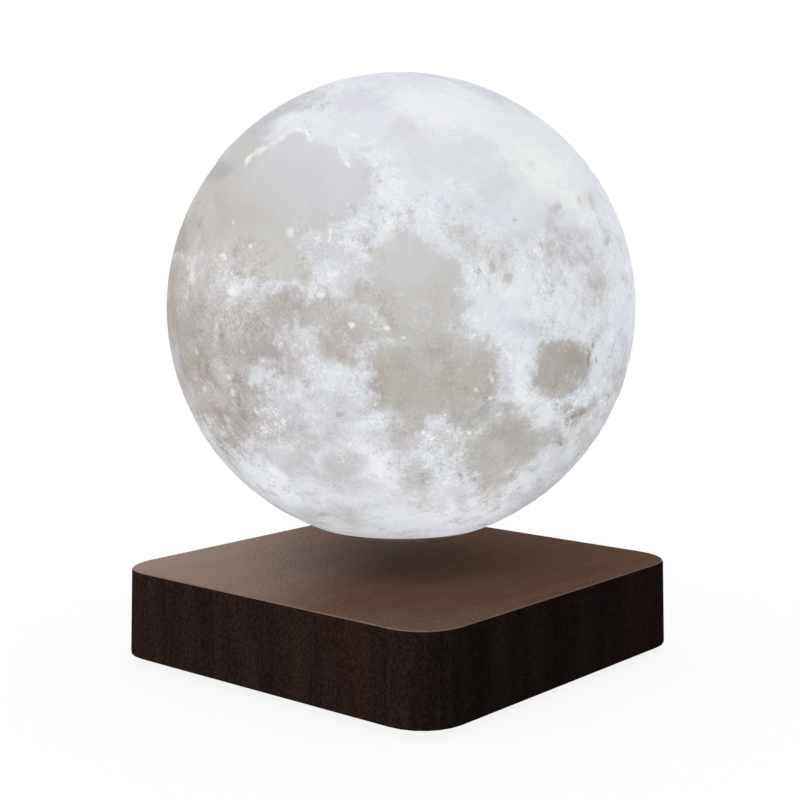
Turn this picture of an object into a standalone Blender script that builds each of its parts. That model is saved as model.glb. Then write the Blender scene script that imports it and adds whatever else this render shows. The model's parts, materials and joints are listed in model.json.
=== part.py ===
"""Levitating moon lamp: a hollow moon globe floating over a square wooden base.

Metres, +Z up. The origin is on the table, on the lamp's upright axis. The base's sides lie along
X and Y, its power socket is on the +Y side, and the globe's axis is the Z axis.
"""

import math

import bmesh
import bpy
from mathutils import Euler, Matrix, Vector

# Clearances
SEAT = 0.0003
SIDE_FIT = 0.0003
CUT_MARGIN = 0.002

# Wooden base
BASE_WIDTH = 0.132
BASE_HEIGHT = 0.028
BASE_CORNER = 0.0144
SIDE_DRAFT = 0.0006
TOP_EDGE_ROUND = 0.0007
BOTTOM_EDGE_ROUND = 0.0004
BASE_WALL = 0.008
TOP_SKIN = 0.0025
POCKET_CORNER = 0.026
CORNER_STEPS = 6
EDGE_STEPS = 2

# Bottom cover, its screws and the feet
COVER_RIM = 0.0035
COVER_CORNER = 0.0105
COVER_THICKNESS = 0.002
POST_INSET = 0.020
POST_RADIUS = 0.003
POST_HEIGHT = 0.003
SCREW_INSET = 0.008
SCREW_HEAD_RADIUS = 0.003
SCREW_HEAD_HEIGHT = 0.0015
SCREW_SHANK_RADIUS = 0.0015
SCREW_TIP_RADIUS = 0.0006
SCREW_LENGTH = 0.011
CROSS_WIDTH = 0.0008
CROSS_LENGTH = 0.0034
CROSS_DEPTH = 0.0009
FOOT_INSET = 0.0185
FOOT_RADIUS = 0.0065
FOOT_HEIGHT = 0.002
FOOT_CHAMFER = 0.0005

# Boards in the base
BOARD_CLEARANCE = 0.003
BOARD_THICKNESS = 0.0016
SENSOR_BOARD_RADIUS = 0.0272
SENSOR_BOARD_THICKNESS = 0.001
SOLDER_ROOM = 0.0008
HALL_SENSOR = (0.0041, 0.0016, 0.003)
HALL_OFFSET = 0.003
FLAT_SENSOR_PLACE = (-0.001, -0.0015)
CHIP = (0.010, 0.0062, 0.002)
CHIP_OFFSET = 0.020
CAPACITOR_RADIUS = 0.004
CAPACITOR_HEIGHT = 0.0115
CAPACITOR_GAP = 0.0012

# Magnets and coils in the base
RING_OUTER_RADIUS = 0.042
RING_INNER_RADIUS = 0.0285
CARRIER_RADIUS = 0.0435
CARRIER_THICKNESS = 0.002
CARRIER_LEG_CIRCLE = 0.039
CARRIER_LEG_RADIUS = 0.0025
CARRIER_LEG_HEIGHT = 0.004
CARRIER_WINDOW_RADIUS = 0.0045
SEND_COIL_OUTER_RADIUS = 0.0415
SEND_COIL_INNER_RADIUS = 0.029
SEND_COIL_THICKNESS = 0.0015
COIL_CIRCLE = 0.016
BOBBIN_FLANGE_RADIUS = 0.011
BOBBIN_FLANGE_THICKNESS = 0.001
BOBBIN_TUBE_RADIUS = 0.0052
POLE_CORE_RADIUS = 0.0038
WINDING_RADIUS = 0.0103
TOUCH_GAP = 0.0012
TOUCH_BEARING_DEGREES = -45.0
TOUCH_SPRING_RADIUS = 0.0035
TOUCH_WIRE_RADIUS = 0.00035
TOUCH_TURNS = 5
TOUCH_POINTS_PER_TURN = 8

# Power socket, in the middle of the +Y side
JACK_HEIGHT = 0.0127
JACK_BARREL_RADIUS = 0.004
JACK_FLANGE_RADIUS = 0.0058
JACK_FLANGE_THICKNESS = 0.0012
JACK_LENGTH = 0.011
JACK_BORE_RADIUS = 0.00315
JACK_BORE_DEPTH = 0.0095
JACK_PIN_RADIUS = 0.00105
JACK_RECESS = 0.0003
JACK_WALL = 0.0048
JACK_NICHE_WIDTH = 0.018
JACK_NUT_RADIUS = 0.0065
JACK_NUT_THICKNESS = 0.0022

# Floating globe
MOON_RADIUS = 0.075
MOON_WALL = 0.0018
LEVITATION_GAP = 0.0081
INNER_SPHERE_SUBDIVISIONS = 4
COLLAR_WALL = 0.002
GLOBE_TURN_DEGREES = (-20.4, 7.7, -74.3)

# Relief of the globe's skin, as drops below or rises above the outer radius
HIGHLAND_DROP = 0.00025
MARE_DEPTH = 0.00040
MARE_SHORE = 0.72
CRATER_DEPTH_PER_RADIUS = 0.13
DEEPEST_CRATER = 0.00075
RIM_PER_DEPTH = 0.30
HIGHEST_RIM = 0.00024
CRATER_FLOOR = 0.62
CRATER_FOOT = 1.35
SMALL_CRATER_DEGREES = 3.0
GRID_POINTS = 720
FAR_CRATERS = 46
FAR_CRATER_SIZES = 7
FAR_CRATER_DEGREES = (2.6, 5.6)
PLAIN_CAP_DEGREES = 27.0

# Magnet cup in the globe's lower end, measured from the globe's centre
CUP_RADIUS = 0.028
CUP_WALL = 0.0015
CUP_FLAT_RADIUS = 0.006
CUP_STEPS = 5
MAGNET_HEIGHT = 0.012
MAGNET_CHAMFER = 0.0005
WELL_WALL = 0.001
WELL_FLOOR = 0.0038
GROOVE_FLOOR = 0.0016
GET_COIL_WIDTH = 0.0027
GET_COIL_HEIGHT = 0.005
GET_COIL_GAP = 0.0005
BOSS_RADIUS = 0.0022
BOSS_COVER = 0.0008
BOSS_ROOT = 0.0004

# Light board on the cup
LIGHT_BOARD_INSET = 0.0006
LIGHT_BOARD_THICKNESS = 0.0012
LED_COUNT = 6
LED_CIRCLE = 0.015
LED_WIDTH = 0.005
LED_HEIGHT = 0.0016
LED_WINDOW_RADIUS = 0.0019
LED_WINDOW_DEPTH = 0.0004
GET_CHIP = (0.006, 0.005, 0.0015)
GET_CHIP_X = -0.0045
GET_CAPACITOR_RADIUS = 0.0032
GET_CAPACITOR_HEIGHT = 0.006
GET_CAPACITOR_X = 0.005
BOARD_SCREW_COUNT = 3
BOARD_SCREW_HEAD_RADIUS = 0.0019
BOARD_SCREW_CROWN_RADIUS = 0.0013
BOARD_SCREW_HEAD_HEIGHT = 0.0012
BOARD_SCREW_SHANK_RADIUS = 0.0009
BOARD_SCREW_LENGTH = 0.006

# Seas of the near side: latitude, longitude and radius, in degrees on the globe
MARIA = (
    ("Imbrium", 31, -17, 16),
    ("Sinus Iridum", 40, -32, 6),
    ("Serenitatis", 24, 21, 11),
    ("Tranquillitatis west", 6, 27, 9),
    ("Tranquillitatis east", 6, 37, 9),
    ("Crisium", 10, 62, 8),
    ("Fecunditatis", -6, 52, 8),
    ("Fecunditatis south", -15, 53, 6),
    ("Nectaris", -18, 35, 6),
    ("Vaporum", 10, 8, 5),
    ("Frigoris", 56, 8, 7),
    ("Frigoris east", 54, 31, 6),
    ("Procellarum", 10, -46, 14),
    ("Procellarum south", -5, -42, 12),
    ("Cognitum", -12, -27, 8),
    ("Nubium", -24, -16, 10),
    ("Humorum", -26, -38, 8),
)

# Craters that show by their own shape: latitude, longitude and radius, in degrees on the globe
CRATERS = (
    ("Copernicus", 7, -20, 3.2),
    ("Kepler", 4, -37, 2.2),
    ("Plato", 50, -8, 3.4),
    ("Archimedes", 29, -4, 3.0),
    ("Eratosthenes", 13, -10, 2.4),
    ("Manilius", 12, 11, 2.2),
    ("Menelaus", 12, 18, 2.0),
    ("Posidonius", 30, 33, 3.4),
    ("Aristoteles", 48, 18, 3.6),
    ("Eudoxus", 41, 15, 2.8),
    ("Atlas", 45, 46, 3.4),
    ("Hercules", 44, 38, 2.8),
    ("Endymion", 54, 60, 4.6),
    ("Cleomedes", 25, 60, 4.2),
    ("Geminus", 33, 58, 3.2),
    ("Proclus", 11, 50, 1.8),
    ("Langrenus", -12, 67, 4.4),
    ("Petavius", -29, 62, 5.6),
    ("Theophilus", -12, 26, 3.6),
    ("Catharina", -21, 23, 3.6),
    ("Piccolomini", -33, 33, 3.6),
    ("Hipparchus", -7, 5, 4.6),
    ("Ptolemaeus", -12, -5, 4.8),
    ("Albategnius", -16, 5, 3.8),
    ("Arzachel", -22, -3, 3.6),
    ("Walther", -33, 1, 4.6),
    ("Tycho", -44, -13, 3.8),
    ("Clavius", -59, -17, 6.2),
    ("Maurolycus", -43, 14, 4.6),
    ("Janssen", -46, 42, 6.0),
    ("Gassendi", -17, -38, 3.2),
    ("Grimaldi", -8, -68, 5.0),
    ("Meton", 73, 20, 4.6),
    ("Pythagoras", 63, -64, 4.6),
)

# Sides of round pieces
DISC_SIDES = 40
CUP_SIDES = 32
SOCKET_SIDES = 20
COIL_SIDES = 16
SMALL_SIDES = 12
PIN_SIDES = 10

# Places worked out from the sizes above
COVER_WIDTH = BASE_WIDTH - 2 * COVER_RIM
SCREW_SPAN = COVER_WIDTH - 2 * SCREW_INSET
FOOT_SPAN = COVER_WIDTH - 2 * FOOT_INSET
POCKET_WIDTH = BASE_WIDTH - 2 * BASE_WALL
MAIN_BOARD_WIDTH = POCKET_WIDTH - 2 * BOARD_CLEARANCE
MAIN_BOARD_CORNER = POCKET_CORNER - BOARD_CLEARANCE
POST_SPAN = MAIN_BOARD_WIDTH - 2 * POST_INSET
CAPACITOR_CIRCLE = CARRIER_RADIUS + CAPACITOR_GAP + CAPACITOR_RADIUS
TOUCH_CIRCLE = CARRIER_RADIUS + TOUCH_GAP + TOUCH_SPRING_RADIUS + TOUCH_WIRE_RADIUS
COVER_BOTTOM_Z = FOOT_HEIGHT + SEAT
COVER_TOP_Z = COVER_BOTTOM_Z + COVER_THICKNESS
BASE_TOP_Z = COVER_BOTTOM_Z + BASE_HEIGHT
CEILING_Z = BASE_TOP_Z - TOP_SKIN
MAIN_BOARD_Z = COVER_TOP_Z + POST_HEIGHT + SEAT
MAIN_BOARD_TOP_Z = MAIN_BOARD_Z + BOARD_THICKNESS
SEND_COIL_Z = CEILING_Z - SEAT - SEND_COIL_THICKNESS
CARRIER_Z = MAIN_BOARD_TOP_Z + SEAT + CARRIER_LEG_HEIGHT
RING_Z = CARRIER_Z + CARRIER_THICKNESS + SEAT
RING_HEIGHT = SEND_COIL_Z - SEAT - RING_Z
SENSOR_BOARD_Z = CEILING_Z - SOLDER_ROOM - SENSOR_BOARD_THICKNESS
BOBBIN_HEIGHT = SENSOR_BOARD_Z - SEAT - RING_Z
JACK_Z = COVER_BOTTOM_Z + JACK_HEIGHT
JACK_DRAFT = SIDE_DRAFT * (BASE_TOP_Z - JACK_Z) / BASE_HEIGHT
JACK_FACE_Y = BASE_WIDTH / 2 + JACK_DRAFT
MOON_Z = BASE_TOP_Z + LEVITATION_GAP + MOON_RADIUS
WELL_FLOOR_LEVEL = WELL_FLOOR - MOON_RADIUS
CUP_TOP = WELL_FLOOR_LEVEL + MAGNET_HEIGHT + 2 * SEAT
BOSS_CIRCLE = CUP_RADIUS - BOSS_COVER - BOSS_RADIUS
GET_COIL_OUTER = BOSS_CIRCLE - BOSS_RADIUS - GET_COIL_GAP
GET_COIL_INNER = GET_COIL_OUTER - GET_COIL_WIDTH
WELL_RADIUS = GET_COIL_INNER - SIDE_FIT - WELL_WALL
MAGNET_RADIUS = WELL_RADIUS - SIDE_FIT
LIGHT_BOARD_RADIUS = CUP_RADIUS - LIGHT_BOARD_INSET
LIGHT_BOARD_LEVEL = CUP_TOP + SEAT

CORNERS = ((1, 1), (-1, 1), (-1, -1), (1, -1))


def clear_scene():
    for old in list(bpy.data.objects):
        bpy.data.objects.remove(old, do_unlink=True)
    for old in list(bpy.data.meshes):
        bpy.data.meshes.remove(old)


def new_collection(name):
    collection = bpy.data.collections.new(name)
    bpy.context.scene.collection.children.link(collection)
    return collection


clear_scene()
lamp = new_collection("levitating_moon_lamp")
cutters = new_collection("cutters")


def finish(name, colour, roughness, metallic=0.0):
    material = bpy.data.materials.new(name)
    material.use_nodes = True
    shader = material.node_tree.nodes["Principled BSDF"]
    shader.inputs["Base Color"].default_value = (*colour, 1.0)
    shader.inputs["Roughness"].default_value = roughness
    shader.inputs["Metallic"].default_value = metallic
    return material


WALNUT = finish("walnut", (0.062, 0.036, 0.024), 0.42)
COVER_BLACK = finish("cover_black", (0.02, 0.02, 0.021), 0.6)
FOOT_RUBBER = finish("foot_rubber", (0.03, 0.03, 0.03), 0.85)
ZINC_STEEL = finish("zinc_steel", (0.55, 0.55, 0.56), 0.32, 1.0)
FERRITE = finish("ferrite", (0.06, 0.06, 0.065), 0.55, 0.4)
CARRIER_WHITE = finish("carrier_white", (0.72, 0.71, 0.68), 0.5)
BOBBIN_BLACK = finish("bobbin_black", (0.03, 0.03, 0.032), 0.5)
COPPER = finish("copper", (0.72, 0.33, 0.16), 0.3, 1.0)
IRON = finish("iron", (0.35, 0.34, 0.33), 0.4, 1.0)
BOARD_GREEN = finish("board_green", (0.02, 0.16, 0.07), 0.4)
CHIP_BLACK = finish("chip_black", (0.015, 0.015, 0.016), 0.45)
SLEEVE_BLUE = finish("sleeve_blue", (0.03, 0.05, 0.16), 0.35)
SOCKET_BLACK = finish("socket_black", (0.02, 0.02, 0.02), 0.35)
NICKEL = finish("nickel", (0.7, 0.69, 0.66), 0.2, 1.0)
MOON_WHITE = finish("moon_white", (0.78, 0.77, 0.75), 0.7)
CUP_WHITE = finish("cup_white", (0.75, 0.74, 0.72), 0.6)
LED_YELLOW = finish("led_yellow", (0.85, 0.72, 0.25), 0.3)


def add_object(name, data, material=None, location=(0, 0, 0), parent=None):
    """A new object, kept as a part where it has a material and as a hidden cutter where it has none."""
    made = bpy.data.objects.new(name, data)
    made.location = location
    made.parent = parent
    if material:
        made.data.materials.append(material)
        lamp.objects.link(made)
    else:
        cutters.objects.link(made)
        made.hide_render = True
        made.display_type = "WIRE"
    return made


def mesh_from(bm, name, smooth_angle=30.0):
    bmesh.ops.recalc_face_normals(bm, faces=bm.faces)
    mesh = bpy.data.meshes.new(name)
    bm.to_mesh(mesh)
    bm.free()
    mesh.shade_smooth()
    mesh.set_sharp_from_angle(angle=math.radians(smooth_angle))
    return mesh


def rounded_block(name, size, corner=0.0, draft=0.0, top_round=0.0, bottom_round=0.0, **place):
    """A block standing on z = 0 with upright corners of a radius, wider at its foot by the draft."""
    width, depth, height = size
    bm = bmesh.new()
    bmesh.ops.create_cube(bm, size=1.0)
    for vert in bm.verts:
        spread = 0.0 if vert.co.z > 0 else draft
        vert.co.x = math.copysign(width / 2 + spread, vert.co.x)
        vert.co.y = math.copysign(depth / 2 + spread, vert.co.y)
        vert.co.z = height if vert.co.z > 0 else 0.0
    if corner:
        upright = [edge for edge in bm.edges if abs(edge.verts[0].co.z - edge.verts[1].co.z) > height / 2]
        bmesh.ops.bevel(bm, geom=upright, offset=corner, segments=CORNER_STEPS, profile=0.5, affect="EDGES")
    for level, radius in ((height, top_round), (0.0, bottom_round)):
        if radius:
            rim = [edge for edge in bm.edges if all(abs(v.co.z - level) < 1e-7 for v in edge.verts)]
            bmesh.ops.bevel(bm, geom=rim, offset=radius, segments=EDGE_STEPS, profile=0.5, affect="EDGES")
    return add_object(name, mesh_from(bm, name), **place)


def cylinder(name, radius, height, segments, **place):
    """A cylinder standing on z = 0."""
    bm = bmesh.new()
    bmesh.ops.create_cone(
        bm, cap_ends=True, segments=segments, radius1=radius, radius2=radius, depth=height,
        matrix=Matrix.Translation((0, 0, height / 2)),
    )
    return add_object(name, mesh_from(bm, name), **place)


def turned(name, profile, segments, ring=False, **place):
    """A solid of revolution. The profile runs down the outer side, and a ring's comes back up inside."""
    mesh = bpy.data.meshes.new(name)
    count = len(profile)
    links = [(i, i + 1) for i in range(count - 1)]
    if ring:
        links.append((count - 1, 0))
    mesh.from_pydata([(r, 0, z) for r, z in profile], links, [])
    made = add_object(name, mesh, **place)
    screw = made.modifiers.new("turn", "SCREW")
    screw.steps = segments
    screw.render_steps = segments
    screw.use_merge_vertices = True
    screw.merge_threshold = 0.00001
    screw.use_smooth_shade = True
    return made


def ring_profile(inner, outer, height):
    return [(outer, height), (outer, 0), (inner, 0), (inner, height)]


def cut(target, cutter, operation="DIFFERENCE"):
    modifier = target.modifiers.new(cutter.name, "BOOLEAN")
    modifier.operation = operation
    modifier.object = cutter


def around(count, radius, start_degrees=0.0):
    """Points evenly spread round the upright axis, with the bearing of each."""
    for i in range(count):
        bearing = math.radians(start_degrees) + math.tau * i / count
        yield radius * math.cos(bearing), radius * math.sin(bearing), bearing


def base_housing():
    block = rounded_block(
        "base_housing", (BASE_WIDTH, BASE_WIDTH, BASE_HEIGHT), BASE_CORNER, SIDE_DRAFT,
        TOP_EDGE_ROUND, BOTTOM_EDGE_ROUND, material=WALNUT, location=(0, 0, COVER_BOTTOM_Z),
    )
    pocket_height = CEILING_Z - COVER_BOTTOM_Z + CUT_MARGIN
    cut(block, rounded_block(
        "pocket_cut", (POCKET_WIDTH, POCKET_WIDTH, pocket_height), POCKET_CORNER,
        location=(0, 0, COVER_BOTTOM_Z - CUT_MARGIN),
    ))
    rebate_width = COVER_WIDTH + 2 * SIDE_FIT
    cut(block, rounded_block(
        "rebate_cut", (rebate_width, rebate_width, COVER_THICKNESS + SEAT + CUT_MARGIN),
        COVER_CORNER + SIDE_FIT, location=(0, 0, COVER_BOTTOM_Z - CUT_MARGIN),
    ))
    for i, (x, y) in enumerate(CORNERS, 1):
        cut(block, cylinder(
            f"pilot_cut_{i}", SCREW_SHANK_RADIUS + SIDE_FIT, SCREW_LENGTH + SEAT, SMALL_SIDES,
            location=(x * SCREW_SPAN / 2, y * SCREW_SPAN / 2, COVER_BOTTOM_Z),
        ))
    cut_socket_seat(block)
    return block


def cut_socket_seat(block):
    """The stepped hole for the power socket, and the niche that thins the wall behind it."""
    niche_front = JACK_FACE_Y - JACK_WALL
    niche_depth = niche_front - BASE_WIDTH / 2 + BASE_WALL + CUT_MARGIN
    niche_height = CEILING_Z - COVER_TOP_Z
    cut(block, rounded_block(
        "niche_cut", (JACK_NICHE_WIDTH, niche_depth, niche_height),
        location=(0, niche_front - niche_depth / 2, COVER_TOP_Z),
    ))
    flange_seat = JACK_RECESS + JACK_FLANGE_THICKNESS + SEAT
    seat_profile = [
        (0, CUT_MARGIN),
        (JACK_FLANGE_RADIUS + SIDE_FIT, CUT_MARGIN),
        (JACK_FLANGE_RADIUS + SIDE_FIT, -flange_seat),
        (JACK_BARREL_RADIUS + SIDE_FIT, -flange_seat),
        (JACK_BARREL_RADIUS + SIDE_FIT, -JACK_WALL - CUT_MARGIN),
        (0, -JACK_WALL - CUT_MARGIN),
    ]
    seat = turned("socket_cut", seat_profile, SOCKET_SIDES, location=(0, JACK_FACE_Y, JACK_Z))
    seat.rotation_euler = (-math.pi / 2, 0, 0)
    cut(block, seat)


def bottom_cover():
    cover = rounded_block(
        "bottom_cover", (COVER_WIDTH, COVER_WIDTH, COVER_THICKNESS), COVER_CORNER,
        material=COVER_BLACK, location=(0, 0, COVER_BOTTOM_Z),
    )
    for i, (x, y) in enumerate(CORNERS, 1):
        post = cylinder(
            f"post_{i}", POST_RADIUS, POST_HEIGHT + COVER_THICKNESS / 2, SMALL_SIDES,
            location=(x * POST_SPAN / 2, y * POST_SPAN / 2, COVER_TOP_Z - COVER_THICKNESS / 2),
        )
        cut(cover, post, "UNION")
        countersink = [
            (0, COVER_THICKNESS + CUT_MARGIN),
            (SCREW_SHANK_RADIUS + SIDE_FIT, COVER_THICKNESS + CUT_MARGIN),
            (SCREW_SHANK_RADIUS + SIDE_FIT, SCREW_HEAD_HEIGHT),
            (SCREW_HEAD_RADIUS + SIDE_FIT, 0),
            (SCREW_HEAD_RADIUS + SIDE_FIT, -CUT_MARGIN),
            (0, -CUT_MARGIN),
        ]
        cut(cover, turned(
            f"countersink_{i}", countersink, SMALL_SIDES,
            location=(x * SCREW_SPAN / 2, y * SCREW_SPAN / 2, COVER_BOTTOM_Z),
        ))
    return cover


def cover_screw(index, x, y):
    """A countersunk screw with its head down, flush with the cover, and a cross recess in the head."""
    profile = [
        (0, SCREW_LENGTH),
        (SCREW_TIP_RADIUS, SCREW_LENGTH),
        (SCREW_SHANK_RADIUS, SCREW_LENGTH - SCREW_SHANK_RADIUS),
        (SCREW_SHANK_RADIUS, SCREW_HEAD_HEIGHT),
        (SCREW_HEAD_RADIUS, 0),
        (0, 0),
    ]
    place = (x * SCREW_SPAN / 2, y * SCREW_SPAN / 2, COVER_BOTTOM_Z)
    screw = turned(f"cover_screw_{index}", profile, SMALL_SIDES, material=ZINC_STEEL, location=place)
    low = (place[0], place[1], place[2] - CUT_MARGIN)
    depth = CROSS_DEPTH + CUT_MARGIN
    slots = (("a", (CROSS_LENGTH, CROSS_WIDTH, depth)), ("b", (CROSS_WIDTH, CROSS_LENGTH, depth)))
    for side, size in slots:
        cut(screw, rounded_block(f"cross_{index}{side}", size, location=low))


def foot(index, x, y):
    profile = [
        (0, FOOT_HEIGHT),
        (FOOT_RADIUS, FOOT_HEIGHT),
        (FOOT_RADIUS, FOOT_CHAMFER),
        (FOOT_RADIUS - FOOT_CHAMFER, 0),
        (0, 0),
    ]
    place = (x * FOOT_SPAN / 2, y * FOOT_SPAN / 2, 0)
    turned(f"foot_{index}", profile, SOCKET_SIDES, material=FOOT_RUBBER, location=place)


def carrier_plate():
    """The tray under the magnets: a disc on four legs, with a window for the sensor leads."""
    plate = cylinder("carrier_plate", CARRIER_RADIUS, CARRIER_THICKNESS, DISC_SIDES,
                     material=CARRIER_WHITE, location=(0, 0, CARRIER_Z))
    foot_level = MAIN_BOARD_TOP_Z + SEAT
    leg_height = CARRIER_Z + CARRIER_THICKNESS / 2 - foot_level
    for i, (x, y, _) in enumerate(around(4, CARRIER_LEG_CIRCLE), 1):
        leg = cylinder(f"leg_{i}", CARRIER_LEG_RADIUS, leg_height, PIN_SIDES,
                       location=(x, y, foot_level))
        cut(plate, leg, "UNION")
    cut(plate, cylinder(
        "window_cut", CARRIER_WINDOW_RADIUS, CARRIER_THICKNESS + 2 * CUT_MARGIN, COIL_SIDES,
        location=(0, 0, CARRIER_Z - CUT_MARGIN),
    ))


def bobbin_and_winding(index, x, y):
    """One levitation coil: an iron core in a flanged bobbin, with copper wound between the flanges."""
    place = (x, y, RING_Z)
    bore = POLE_CORE_RADIUS + SIDE_FIT
    flange = BOBBIN_FLANGE_THICKNESS
    bobbin = [
        (BOBBIN_FLANGE_RADIUS, BOBBIN_HEIGHT),
        (BOBBIN_FLANGE_RADIUS, BOBBIN_HEIGHT - flange),
        (BOBBIN_TUBE_RADIUS, BOBBIN_HEIGHT - flange),
        (BOBBIN_TUBE_RADIUS, flange),
        (BOBBIN_FLANGE_RADIUS, flange),
        (BOBBIN_FLANGE_RADIUS, 0),
        (bore, 0),
        (bore, BOBBIN_HEIGHT),
    ]
    turned(f"coil_bobbin_{index}", bobbin, COIL_SIDES, ring=True, material=BOBBIN_BLACK, location=place)
    winding_height = BOBBIN_HEIGHT - 2 * flange - 2 * SEAT
    turned(
        f"coil_winding_{index}",
        ring_profile(BOBBIN_TUBE_RADIUS + SIDE_FIT, WINDING_RADIUS, winding_height), COIL_SIDES,
        ring=True, material=COPPER, location=(x, y, RING_Z + flange + SEAT),
    )
    cylinder(f"pole_core_{index}", POLE_CORE_RADIUS, BOBBIN_HEIGHT, SMALL_SIDES, material=IRON,
             location=place)


def ring_magnet():
    turned("ring_magnet", ring_profile(RING_INNER_RADIUS, RING_OUTER_RADIUS, RING_HEIGHT), DISC_SIDES,
           ring=True, material=FERRITE, location=(0, 0, RING_Z))


def transmitter_coil():
    flat = ring_profile(SEND_COIL_INNER_RADIUS, SEND_COIL_OUTER_RADIUS, SEND_COIL_THICKNESS)
    turned("transmitter_coil", flat, DISC_SIDES, ring=True, material=COPPER, location=(0, 0, SEND_COIL_Z))


def sensor_board():
    """The round board over the coils, with three magnetic sensors hanging between them."""
    cylinder("sensor_board", SENSOR_BOARD_RADIUS, SENSOR_BOARD_THICKNESS, CUP_SIDES,
             material=BOARD_GREEN, location=(0, 0, SENSOR_BOARD_Z))
    length, thickness, height = HALL_SENSOR
    level = SENSOR_BOARD_Z - SEAT - height
    rounded_block("hall_sensor_x", (thickness, length, height), material=CHIP_BLACK,
                  location=(HALL_OFFSET, 0, level))
    rounded_block("hall_sensor_y", (length, thickness, height), material=CHIP_BLACK,
                  location=(0, HALL_OFFSET, level))
    rounded_block("hall_sensor_z", (length, height, thickness), material=CHIP_BLACK,
                  location=(*FLAT_SENSOR_PLACE, SENSOR_BOARD_Z - SEAT - thickness))


def main_board():
    rounded_block("main_board", (MAIN_BOARD_WIDTH, MAIN_BOARD_WIDTH, BOARD_THICKNESS), MAIN_BOARD_CORNER,
                  material=BOARD_GREEN, location=(0, 0, MAIN_BOARD_Z))
    level = MAIN_BOARD_TOP_Z + SEAT
    for i, side in enumerate((-1, 1), 1):
        rounded_block(f"driver_chip_{i}", CHIP, material=CHIP_BLACK, location=(side * CHIP_OFFSET, 0, level))
        across = CAPACITOR_CIRCLE * math.sqrt(0.5)
        cylinder(f"electrolytic_cap_{i}", CAPACITOR_RADIUS, CAPACITOR_HEIGHT, COIL_SIDES,
                 material=SLEEVE_BLUE, location=(side * across, across, level))


def tube_mesh(name, points, radius, resolution):
    """A closed tube along the points, as a mesh with its caps welded on."""
    curve = bpy.data.curves.new(name, "CURVE")
    curve.dimensions = "3D"
    curve.bevel_depth = radius
    curve.bevel_resolution = resolution
    curve.use_fill_caps = True
    spline = curve.splines.new("POLY")
    spline.points.add(len(points) - 1)
    for control, point in zip(spline.points, points):
        control.co = (*point, 1.0)
    guide = bpy.data.objects.new(name, curve)
    cutters.objects.link(guide)
    bpy.context.view_layer.update()
    evaluated = guide.evaluated_get(bpy.context.evaluated_depsgraph_get())
    bm = bmesh.new()
    bm.from_mesh(evaluated.to_mesh())
    evaluated.to_mesh_clear()
    bpy.data.objects.remove(guide, do_unlink=True)
    bmesh.ops.remove_doubles(bm, verts=bm.verts, dist=radius / 100)
    return mesh_from(bm, name)


def touch_spring():
    """The spring that couples the touch switch on the board to the underside of the base's top."""
    low = MAIN_BOARD_TOP_Z + SEAT + TOUCH_WIRE_RADIUS
    rise = CEILING_Z - SEAT - TOUCH_WIRE_RADIUS - low
    steps = TOUCH_TURNS * TOUCH_POINTS_PER_TURN
    points = []
    for i in range(steps + 1):
        bearing = math.tau * i / TOUCH_POINTS_PER_TURN
        points.append((
            TOUCH_SPRING_RADIUS * math.cos(bearing),
            TOUCH_SPRING_RADIUS * math.sin(bearing),
            rise * i / steps,
        ))
    bearing = math.radians(TOUCH_BEARING_DEGREES)
    add_object("touch_spring", tube_mesh("touch_spring", points, TOUCH_WIRE_RADIUS, 0), NICKEL,
               (TOUCH_CIRCLE * math.cos(bearing), TOUCH_CIRCLE * math.sin(bearing), low))


def power_socket():
    """The round socket, pushed in from the back until its flange seats, and the nut behind the wall."""
    face = -JACK_RECESS
    profile = [
        (0, face - JACK_RECESS),
        (JACK_PIN_RADIUS, face - JACK_RECESS),
        (JACK_PIN_RADIUS, face - JACK_BORE_DEPTH),
        (JACK_BORE_RADIUS, face - JACK_BORE_DEPTH),
        (JACK_BORE_RADIUS, face),
        (JACK_FLANGE_RADIUS, face),
        (JACK_FLANGE_RADIUS, face - JACK_FLANGE_THICKNESS),
        (JACK_BARREL_RADIUS, face - JACK_FLANGE_THICKNESS),
        (JACK_BARREL_RADIUS, face - JACK_LENGTH),
        (0, face - JACK_LENGTH),
    ]
    jack = turned("dc_jack", profile, SOCKET_SIDES, material=SOCKET_BLACK, location=(0, JACK_FACE_Y, JACK_Z))
    jack.rotation_euler = (-math.pi / 2, 0, 0)
    nut = cylinder("jack_nut", JACK_NUT_RADIUS, JACK_NUT_THICKNESS, 6, material=NICKEL,
                   location=(0, JACK_FACE_Y - JACK_WALL - SEAT, JACK_Z))
    nut.rotation_euler = (math.pi / 2, 0, 0)
    nut_bore = cylinder("nut_bore", JACK_BARREL_RADIUS + SIDE_FIT, JACK_NUT_THICKNESS + 2 * CUT_MARGIN,
                        SOCKET_SIDES, location=(0, JACK_FACE_Y - JACK_WALL - SEAT + CUT_MARGIN, JACK_Z))
    nut_bore.rotation_euler = (math.pi / 2, 0, 0)
    cut(nut, nut_bore)


def direction(latitude, longitude):
    """The unit vector of a place on the globe, before the globe is turned to its pose."""
    lat, lon = math.radians(latitude), math.radians(longitude)
    return Vector((math.cos(lat) * math.cos(lon), math.cos(lat) * math.sin(lon), math.sin(lat)))


def spiral_directions(count):
    """Evenly spread unit vectors along a golden-angle spiral."""
    golden = math.pi * (3 - math.sqrt(5))
    for i in range(count):
        height = 1 - (2 * i + 1) / count
        across = math.sqrt(1 - height * height)
        yield Vector((across * math.cos(golden * i), across * math.sin(golden * i), height))


def smooth_step(value):
    value = min(max(value, 0.0), 1.0)
    return value * value * (3 - 2 * value)


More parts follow.
